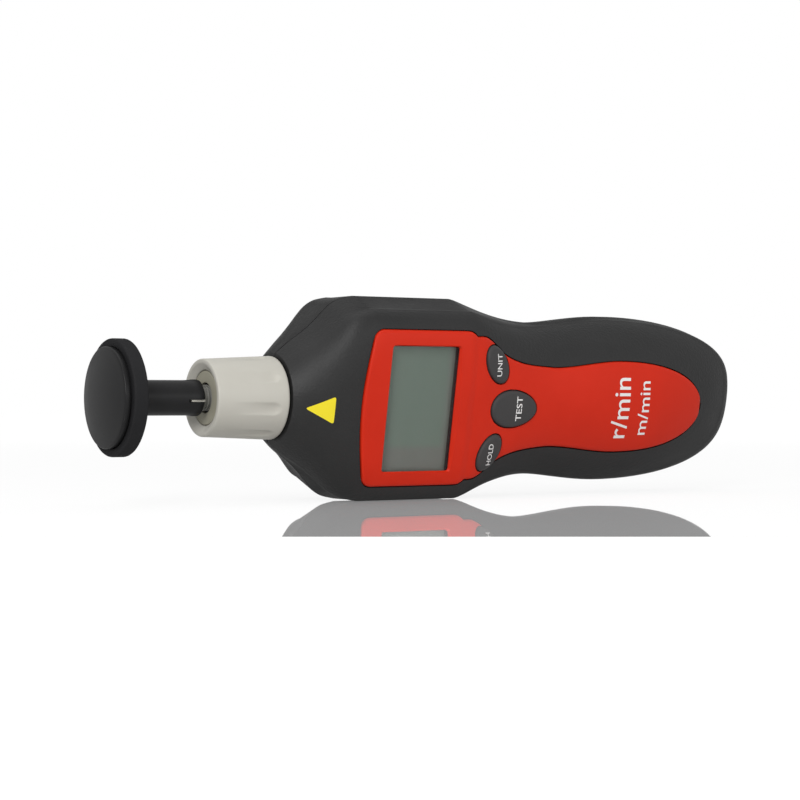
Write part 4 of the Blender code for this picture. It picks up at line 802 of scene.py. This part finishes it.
facePanel = panelPlate("facePanel", 0.0, lambda x, z, d: faceAt(x, z) - panel["pocket"] + seatGap,
                       lambda x, z, d: panelTop(x, z) + roundedRise(d))
innerEdge = displayOutline(0.0, display["corner"])
outerEdge = displayOutline(display["bevel"], display["corner"] + display["cornerGrow"])
rebate = displayOutline(display["overlap"] + seatGap, display["moduleCorner"])
rimTop = housing["headFace"] + panel["proudHead"] + seatGap
workWith(facePanel, [
    prismPiece("opening", innerEdge, display["seat"] - 4, display["seat"] + 0.35),
    prismPiece("bevel", innerEdge, display["seat"] + 0.3, rimTop, outerEdge),
    prismPiece("rebate", rebate, display["seat"] - 5, display["seat"]),
    keyHoles(keyFit["panelHoleFloor"])])
place(facePanel, "case", finishes["redPanelPlastic"], ["face_panel"])
print("face panel:", len(facePanel.data.polygons), "faces")

for keyName, key in keys.items():
    cap = keyPiece(keyName + "Key", key)
    place(cap, key["body"], finishes["keyRubber"], [keyName + "_button"])


# battery lid in the back of the head, and the rear shell around it

lid = {"startX": -17.6, "endX": 32.3, "half": 13.85, "corner": 2.2, "thickness": 0.9, "ledge": 1.8,
       "rim": 1.2, "rimDepth": 1.9, "openingCorner": 1.0, "openingDepth": 4.2, "grooves": 5, "grooveX": 26.3,
       "groovePitch": 2.2, "grooveWidth": 1.1, "grooveDepth": 0.42, "grooveHalf": 7.0}
caseScrews = {"places": ((-24.0, 16.5), (-24.0, -16.5), (113.0, 9.0), (113.0, -9.0)), "postRadius": 3.2,
              "postStart": 0.15, "postShort": 0.6, "wellRadius": 2.7, "seat": 5.5, "headRadius": 2.4,
              "headHeight": 1.8, "headEdge": 1.1, "headFlat": 1.3, "shankRadius": 1.2, "length": 10.5,
              "recess": 0.75, "recessReach": 1.45}


def lidPlate(name, grow, low, high, corner, fineness=26):  # follows the back between two depths under it
    x0, x1, half = lid["startX"] - grow, lid["endX"] + grow, lid["half"] + grow
    zs = [(half + 1) * (2 * k / 20 - 1) for k in range(21)]
    rings = []
    for k in range(fineness + 1):
        x = mix(x0 - 1, x1 + 1, k / fineness)
        ring = [(x, backAt(x, z) - high, z) for z in zs]
        rings.append(ring + [(x, backAt(x, z) - low, z) for z in reversed(zs)])
    outline = roundedOutline((x0 + x1) / 2, (x1 - x0) / 2, half, corner)
    return workWith(loftPiece(name, rings), [prismPiece("outline", outline, -40.0, 0.0)], "INTERSECT")


def rearPost(x, z, radius, y0, y1):
    return prismPiece("post", circleOutline(x, z, radius), -y0, -y1)


rearShell = shellPiece("rearShell", False)
s, posts, wells, bores = caseScrews, [], [], []
for x, z in s["places"]:
    lowest = min(backAt(px, pz) for px, pz in circleOutline(x, z, s["postRadius"], 16))
    posts.append(rearPost(x, z, s["postRadius"], s["postStart"], lowest - s["postShort"]))
    wells.append(rearPost(x, z, s["wellRadius"], s["seat"], outside))
    bores.append(rearPost(x, z, s["shankRadius"] + seatGap, -1.0, s["seat"] + 0.5))
workWith(rearShell, [asOne(posts)], "UNION")
middle, inner = (lid["startX"] + lid["endX"]) / 2, (lid["endX"] - lid["startX"]) / 2 - lid["ledge"]
batteryOpening = roundedOutline(middle, inner, lid["half"] - lid["ledge"], lid["openingCorner"])
workWith(rearShell, [
    asOne(wells), asOne(bores),
    lidPlate("pocket", seatGap, lid["thickness"] + seatGap, -6, lid["corner"] + seatGap),
    prismPiece("opening", batteryOpening, -outside, -lid["openingDepth"])])
place(rearShell, "case", finishes["softBlackPlastic"], ["rear_case"])
print("rear shell:", len(rearShell.data.polygons), "faces")

batteryLid = lidPlate("batteryLid", 0.0, lid["thickness"], 0.0, lid["corner"])
rimIn = lid["ledge"] + seatGap
rim = lidPlate("rim", -rimIn, lid["rimDepth"], lid["thickness"] / 2, lid["openingCorner"], 12)
rimIn += lid["rim"]
workWith(rim, [blockPiece("inside", lid["startX"] + rimIn, lid["endX"] - rimIn, -outside, 0,
                          rimIn - lid["half"], lid["half"] - rimIn)])
workWith(batteryLid, [rim], "UNION")
lastX = lid["grooveX"] - lid["groovePitch"] * (lid["grooves"] - 1)
lift = (backAt(lastX, 0) - backAt(lid["grooveX"], 0)) / (lid["grooves"] - 1)
firstY = backAt(lid["grooveX"], 0) - lid["grooveDepth"] + lid["grooveWidth"] / 2
runTree(batteryLid, grooved, {
    "Grooves": lid["grooves"], "First": (lid["grooveX"], firstY, 0.0),
    "Step": (-lid["groovePitch"], lift, 0.0), "Length": 2 * lid["grooveHalf"],
    "Width": lid["grooveWidth"], "Finish": finishes["lidBlackPlastic"]})
place(batteryLid, "door", finishes["lidBlackPlastic"], ["battery_door"])

screw = turnedPiece("screw", [
    (0, 0, 0), (s["length"], 0, 0), (s["length"], s["shankRadius"], 0.3), (0, s["shankRadius"], 0),
    (0, s["headRadius"], 0.2), (-s["headEdge"], s["headRadius"], 0.5), (-s["headHeight"], s["headFlat"], 0.3),
    (-s["headHeight"], 0, 0)], finishes["brightSteel"], 40)
workWith(screw, crossPieces("slot", -3.0, -s["recess"], s["recessReach"], s["recess"] / 2))
screw.data.transform(Matrix.Rotation(math.radians(-90), 4, "Z"))
spots = bpy.data.meshes.new("caseScrews")
spots.from_pydata([(x, s["seat"] + seatGap, z) for x, z in s["places"]], [], [])
screwSet = addObject("caseScrewSet", spots)
runTree(screwSet, scattered, {"Part": screw, "Finish": finishes["brightSteel"]})
bpy.data.objects.remove(screw)
place(screwSet, "case", finishes["brightSteel"], ["case_screw_%d" % (k + 1) for k in range(4)])
print("back of the case ready")


# nose tube, adapter and its insert

nose = {"frontX": -46.5, "endX": -30.0, "radius": 9.0, "mouth": 7.2, "mouthEndX": -42.4, "bore": 6.2,
        "flangeX": -36.1, "flangeEndX": -34.5, "flangeRadius": 11.0}
adapter = {"frontX": -61.1, "backX": -39.5, "frontRadius": 10.75, "backRadius": 11.75, "frontRound": 1.7,
           "backRound": 0.9, "dishRadius": 9.6, "dishFloor": -59.9, "seatDepth": 1.2, "insertRadius": 7.5,
           "insertThickness": 0.9, "insertGap": 0.15, "holeRadius": 4.2, "boreRadius": 6.8,
           "socketFloor": -47.2, "socketRadius": 9.3, "flutes": 8, "fluteTurn": -5.0, "fluteStart": -56.5,
           "fluteEnd": -42.0, "fluteHalf": 1.75, "fluteDepth": 0.75, "scoop": 2.4, "leastRadius": 9.9,
           "lineStep": 0.45}

n = nose
noseTube = turnedPiece("noseTube", [
    (n["frontX"], n["mouth"], 0.2), (n["frontX"], n["radius"], 0.5), (n["flangeX"], n["radius"], 0),
    (n["flangeX"], n["flangeRadius"], 0.2), (n["flangeEndX"], n["flangeRadius"], 0.2),
    (n["flangeEndX"], n["radius"], 0), (n["endX"], n["radius"], 0.2), (n["endX"], n["bore"], 0),
    (n["mouthEndX"], n["bore"], 0), (n["mouthEndX"], n["mouth"], 0)], finishes["wheelBlackPlastic"], 96)
place(noseTube, "case", finishes["wheelBlackPlastic"], ["nose_tube"])


def splitLong(corners, step, least):  # more corners along the outer line, for the flutes to press
    made = []
    for here, after in zip(corners, corners[1:] + corners[:1]):
        made.append(here)
        a, b = Vector(here[:2]), Vector(after[:2])
        if min(a.y, b.y) > least and (b - a).length > 4:
            count = int((b - a).length / step)
            made += [(*a.lerp(b, k / count), 0) for k in range(1, count) if 0.06 < k / count < 0.92]
    return made


a = adapter
seatX, seatRadius = a["dishFloor"] + a["seatDepth"], a["insertRadius"] + a["insertGap"]
adapterCorners = [
    (a["backX"], a["socketRadius"], 0.2), (a["backX"], a["backRadius"], a["backRound"]),
    (a["frontX"], a["frontRadius"], a["frontRound"]), (a["frontX"], a["dishRadius"], 0.25),
    (a["dishFloor"], seatRadius, 0.3), (seatX, seatRadius, 0), (seatX, a["boreRadius"], 0),
    (a["socketFloor"], a["boreRadius"], 0), (a["socketFloor"], a["socketRadius"], 0)]
adapterLine = splitLong(adapterCorners, a["lineStep"], a["leastRadius"])
adapterShell = turnedPiece("adapterShell", adapterLine, finishes["paleAdapterPlastic"], 256)
runTree(adapterShell, fluted, {
    "Flutes": a["flutes"], "Turn": math.radians(a["fluteTurn"]), "Start": a["fluteStart"],
    "End": a["fluteEnd"], "Half Width": a["fluteHalf"], "Depth": a["fluteDepth"], "Scoop": a["scoop"],
    "Least Radius": a["leastRadius"], "Finish": finishes["paleAdapterPlastic"]})
place(adapterShell, "adapter", finishes["paleAdapterPlastic"], ["adapter_housing"], 40)
insertBack = a["dishFloor"] + a["insertThickness"]
adapterInsert = turnedPiece("adapterInsert", [
    (a["dishFloor"], a["holeRadius"], 0.15), (a["dishFloor"], a["insertRadius"], 0.35),
    (insertBack, a["insertRadius"], 0), (insertBack, a["holeRadius"], 0)],
    finishes["insertToneAndPaintedShade"], 96)
place(adapterInsert, "adapter", finishes["insertToneAndPaintedShade"], ["adapter_face"])


# spindle hub and the surface-speed wheel

wheel = {"backX": -84.0, "frontX": -88.0, "radius": 15.915, "rimRadius": 13.715, "lip": 13.965,
         "lipThickness": 0.6, "domeRadius": 13.75, "domeX": -89.8, "domeHeight": 1.6, "domeEdge": 0.4,
         "stemRadius": 4.85, "flareRadius": 5.05, "flareLength": 1.8, "flareEnd": 3.4, "stemEndX": -62.3,
         "boreX": -70.6, "boreRadius": 2.5, "slotWidth": 0.8, "slotDepth": 4.6, "slotReach": 8.0,
         "tyreRound": 0.55}
w = wheel
domeLine = [(w["domeX"] - w["domeHeight"] * (1 - k * k), (w["domeRadius"] - w["domeEdge"]) * k, 0)
            for k in (0.92, 0.82, 0.7, 0.57, 0.43, 0.28, 0.13)]
lipX, faceX, webRadius = w["backX"] - w["lipThickness"], w["frontX"] - seatGap, w["rimRadius"] - seatGap
wheelBody = turnedPiece("wheelBody", [
    (w["boreX"], 0, 0), (w["boreX"], w["boreRadius"], 0), (w["stemEndX"], w["boreRadius"], 0.2),
    (w["stemEndX"], w["flareRadius"], 0.4), (w["stemEndX"] - w["flareLength"], w["flareRadius"], 0.6),
    (w["stemEndX"] - w["flareEnd"], w["stemRadius"], 0.6), (w["backX"], w["stemRadius"], 1.2),
    (w["backX"], w["lip"], 0.2), (lipX, w["lip"], 0), (lipX, webRadius, 0), (faceX, webRadius, 0),
    (faceX, w["domeRadius"], 0.15), (w["domeX"], w["domeRadius"], 0.55), *domeLine,
    (w["domeX"] - w["domeHeight"], 0, 0)], finishes["wheelBlackPlastic"], 128)
slotFloor = w["stemEndX"] - w["slotDepth"]
workWith(wheelBody, crossPieces("slot", slotFloor, -60.0, w["slotReach"], w["slotWidth"] / 2))
place(wheelBody, "contact_wheel", finishes["wheelBlackPlastic"], ["wheel"])
lipX, lipRadius = lipX - seatGap, w["lip"] + seatGap
tyre = turnedPiece("tyre", [
    (w["backX"], lipRadius, 0.1), (w["backX"], w["radius"], w["tyreRound"]),
    (w["frontX"], w["radius"], w["tyreRound"]), (w["frontX"], w["rimRadius"], 0.2),
    (lipX, w["rimRadius"], 0), (lipX, lipRadius, 0)], finishes["tyreRubber"], 160)
place(tyre, "contact_wheel", finishes["tyreRubber"], ["wheel_tyre"])

hub = {"frontX": -62.0, "backX": -58.7, "core": 3.1, "rib": 3.6, "ribs": 3, "bore": 2.5,
       "keyThickness": 0.56, "keyHeight": 4.55, "keyLength": 4.0}
hubCorners = [(hub["backX"], hub["bore"], 0), (hub["backX"], hub["core"], 0)]
pitch = (hub["backX"] - hub["frontX"]) / (hub["ribs"] + 0.5)
for k in range(hub["ribs"]):
    x = hub["backX"] - pitch * (k + 0.5)
    hubCorners += [(x, hub["core"], 0.05), (x, hub["rib"], 0.12),
                   (x - pitch / 2, hub["rib"], 0.12), (x - pitch / 2, hub["core"], 0.05)]
hubCorners += [(hub["frontX"], hub["core"], 0), (hub["frontX"], hub["bore"], 0)]
ribbedHub = turnedPiece("ribbedHub", hubCorners, finishes["ribbedHubRubber"], 64)
place(ribbedHub, "spindle", finishes["ribbedHubRubber"], ["spindle_hub"])
thick, low, high = hub["keyThickness"] / 2, hub["bore"], hub["keyHeight"]
start, end = hub["frontX"] - hub["keyLength"], hub["frontX"]
driveKeys = [blockPiece("driveKey", start, end, side * low, side * high, -thick, thick) for side in (-1, 1)]
driveKeys += [blockPiece("driveKey", start, end, -thick, thick, side * low, side * high) for side in (-1, 1)]
driveKeySet = asOne(driveKeys, "driveKeySet")  # on the shaft, in the slots of the wheel's stem
place(driveKeySet, "spindle", finishes["paleAdapterPlastic"])
print("wheel, hub and adapter ready")


# printed marks, laid just above the surfaces they are printed on

prints = {  # each line of words with its x and z, letter height and length
    "arrow": {"points": ((-36.3, -0.25), (-28.3, -4.3), (-28.2, 3.5)), "round": 0.9},
    "lines": (("r/min", 71.5, 0.0, 6.4, 18.6), ("m/min", 80.2, 0.0, 4.2, 16.6)),
    "keyWords": {"measure": ("TEST", 32.9, 0.2, 2.0, 7.3), "upper": ("UNIT", 24.7, 13.0, 1.75, 6.5),
                 "lower": ("HOLD", 24.4, -13.4, 1.75, 6.4)},
    "weight": 0.006, "lift": 0.04, "longestEdge": 0.7,
}


def layOn(name, flat, heightAt, finish, body):  # flat mesh in (x, z), cut fine and laid on a height
    with editing(flat) as bm:
        bmesh.ops.triangulate(bm, faces=bm.faces)
        for attempt in range(5):
            longOnes = [e for e in bm.edges if e.calc_length() > prints["longestEdge"]]
            if not longOnes:
                break
            bmesh.ops.subdivide_edges(bm, edges=longOnes, cuts=1)
            bmesh.ops.triangulate(bm, faces=bm.faces)
        for v in bm.verts:
            v.co.y = -(heightAt(v.co.x, v.co.z) + prints["lift"])
        bm.normal_update()
        for face in bm.faces:
            if face.normal.y > 0:
                face.normal_flip()
    flat.name = name
    return place(addObject(name, flat), body, finish)


def flatWords(words, x, z, height, length):  # letters that read upwards when the instrument lies on its side
    curve = bpy.data.curves.new("words", "FONT")
    curve.body, curve.size, curve.offset, curve.resolution_u = words, 1.0, prints["weight"], 4
    letters = addObject("words", curve)
    mesh = finalMesh(letters)
    bpy.data.objects.remove(letters)
    us, ups = [v.co.x for v in mesh.vertices], [v.co.y for v in mesh.vertices]
    wide, tall = max(us) - min(us), max(ups) - min(ups)
    for v in mesh.vertices:
        u, up = v.co.x - min(us) - wide / 2, v.co.y - min(ups) - tall / 2
        v.co = (x - up * height / tall, 0.0, z + u * length / wide)
    return mesh


def crownOf(key):
    turn = math.radians(key["turn"])

    def heightAt(x, z):
        x0, z0 = x - key["x"], key["side"] * z - key["z"]
        along = x0 * math.cos(turn) - z0 * math.sin(turn)
        across = x0 * math.sin(turn) + z0 * math.cos(turn)
        return keyCrown(x, z, math.hypot(along / key["long"], across / key["short"]))
    return heightAt


arrow = bpy.data.meshes.new("arrow")
corners = softened([(x, z, prints["arrow"]["round"]) for x, z in prints["arrow"]["points"]])
arrow.from_pydata([(p.x, 0, p.y) for p in corners], [], [tuple(range(len(corners)))])
layOn("aimingArrow", arrow, faceAt, finishes["yellowPrint"], "case")
for number, line in enumerate(prints["lines"], 1):
    layOn("unitPrint%d" % number, flatWords(*line), panelTop, finishes["whitePrint"], "case")
for keyName, line in prints["keyWords"].items():
    key = keys[keyName]
    layOn(keyName + "Word", flatWords(*line), crownOf(key), finishes["whitePrint"], key["body"])
print("marks ready")


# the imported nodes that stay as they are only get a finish
nodeFinishes = {
    "display_window": "clearWindow", "display_glass": "displayGlass", "display_frame": "whiteCarrierPlastic",
    "circuit_board": "boardLaminate", "measure_switch": "switchPlastic", "upper_switch": "switchPlastic",
    "lower_switch": "switchPlastic", "sensor_lens": "filterGlass", "laser_module": "turnedBrass",
    "light_sensor": "switchPlastic", "optics_holder": "whiteCarrierPlastic",
    "chopper_disc": "wheelBlackPlastic", "battery": "cellJacket", "battery_connector": "switchPlastic",
    "battery_tray": "switchPlastic"}
for nodeName, node in nodes.items():
    node.data.materials.clear()
    node.data.materials.append(finishes[nodeFinishes.get(nodeName, "brightSteel")])


# studio: pale floor with a glossy sheet on it, white surroundings, soft lamps and the camera

studio = {
    "turn": 32.2, "distance": 581.0, "aside": 2.9, "lower": 0.6, "lens": 90.0,  # degrees, then millimetres
    "floorSize": 6.0, "floorDrop": 0.00005, "sheetEdge": -0.1602, "sheetBlur": 0.0008, "sheetGloss": 0.74,
    "steepGloss": 0.2, "sheetRoughness": 0.015, "floorGlow": 0.55, "floorColour": 0.50, "floorBounce": 0.66,
    "fadeStart": 0.25, "fadeEnd": 0.9, "surround": 0.45,
    "lamps": (  # name, place, aimed at, width, height and watts
        ("highLeftLamp", (-0.65, -0.62, 0.47), (-0.01, 0, 0.03), 0.22, 0.60, 5.6),
        ("frontLamp", (0.15, -0.98, 0.14), (0.01, 0, 0.03), 0.9, 0.6, 2.6),
        ("topLamp", (-0.12, 0.05, 0.9), (0.01, 0, 0.03), 0.9, 0.7, 1.5)),
}
turnAngle = math.radians(studio["turn"])
ahead = Vector((math.sin(turnAngle), math.cos(turnAngle), 0))
right = Vector((math.cos(turnAngle), -math.sin(turnAngle), 0))


def seenRays(tree):  # 1 for rays from the camera, off gloss or through glass
    path = addNode(tree, "ShaderNodeLightPath").outputs
    return calc(tree, "MAXIMUM", path["Is Camera Ray"], path["Is Glossy Ray"], path["Is Transmission Ray"])


def floorFinish():
    s = studio
    made = bpy.data.materials.new("paleFloor")
    made.use_nodes = True
    tree = made.node_tree
    tree.nodes.remove(tree.nodes["Principled BSDF"])
    coords = addNode(tree, "ShaderNodeTexCoord").outputs["Object"]
    seen = seenRays(tree)
    away = addNode(tree, "ShaderNodeVectorMath", {0: coords}, operation="LENGTH").outputs["Value"]
    near = remap(tree, away, 1.0, 0.0, s["fadeStart"], s["fadeEnd"])
    glow = calc(tree, "MULTIPLY", seen, remap(tree, near, 1.0, s["floorGlow"], 0.0, 1.0))
    # far off it only glows, so that it meets the white behind it
    seenLevel = calc(tree, "MULTIPLY", seen, calc(tree, "MULTIPLY", near, s["floorColour"]))
    hiddenLevel = calc(tree, "MULTIPLY", calc(tree, "SUBTRACT", 1.0, seen), s["floorBounce"])
    level = calc(tree, "ADD", seenLevel, hiddenLevel)
    tint = addNode(tree, "ShaderNodeCombineColor", {0: level, 1: level, 2: level}).outputs[0]
    diffuse = addNode(tree, "ShaderNodeBsdfDiffuse", {"Color": tint}).outputs[0]
    light = addNode(tree, "ShaderNodeEmission", {"Strength": glow}).outputs[0]
    base = addNode(tree, "ShaderNodeAddShader", {0: diffuse, 1: light}).outputs[0]
    depth = addNode(tree, "ShaderNodeVectorMath", {0: coords, 1: ahead}, operation="DOT_PRODUCT")
    edge, blur = s["sheetEdge"], s["sheetBlur"]
    onSheet = remap(tree, depth.outputs["Value"], 0.0, s["sheetGloss"], edge - blur, edge + blur)
    aslant = addNode(tree, "ShaderNodeLayerWeight", {"Blend": 0.5}).outputs["Facing"]
    mirror = remap(tree, aslant, s["steepGloss"], 1.0, 0.70, 0.93)  # a mirror only at a low angle
    shine = addNode(tree, "ShaderNodeBsdfGlossy", {"Roughness": s["sheetRoughness"], "Color": (1, 1, 1, 1)})
    mirrored = calc(tree, "MULTIPLY", onSheet, mirror, seen)
    shown = addNode(tree, "ShaderNodeMixShader", {0: mirrored, 1: base, 2: shine.outputs[0]})
    tree.links.new(shown.outputs[0], tree.nodes["Material Output"].inputs["Surface"])
    return made


floorZ = cadBox[0].z - studio["floorDrop"]
half = studio["floorSize"] / 2
floorMesh = bpy.data.meshes.new("floor")
floorMesh.from_pydata([(x * half, y * half, floorZ) for x, y in ((-1, -1), (1, -1), (1, 1), (-1, 1))],
                      [], [(0, 1, 2, 3)])
floorMesh.materials.append(floorFinish())
floor = addObject("floor", floorMesh)

surroundings = bpy.data.worlds.new("whiteSurroundings")
surroundings.use_nodes = True
tree = surroundings.node_tree
background = tree.nodes["Background"]
background.inputs["Color"].default_value = (1, 1, 1, 1)
feed(tree, background, {"Strength": remap(tree, seenRays(tree), studio["surround"], 1.0, 0.0, 1.0)})
bpy.context.scene.world = surroundings

for name, spot, target, width, height, watts in studio["lamps"]:
    lamp = bpy.data.lights.new(name, "AREA")
    lamp.shape, lamp.size, lamp.size_y, lamp.energy = "RECTANGLE", width, height, watts
    made = addObject(name, lamp)
    made.location = spot
    made.rotation_euler = (Vector(target) - Vector(spot)).to_track_quat("-Z", "Y").to_euler()

camera = addObject("camera", bpy.data.cameras.new("camera"))
camera.data.sensor_width, camera.data.lens, camera.data.clip_start = 36.0, studio["lens"], 0.01
camera.location = (-studio["distance"] * ahead + studio["aside"] * right) * millimetre
camera.location.z = (axisHeight - studio["lower"]) * millimetre
camera.rotation_euler = (math.pi / 2, 0, -turnAngle)
bpy.context.scene.camera = camera
bpy.context.scene.view_settings.view_transform = "Standard"
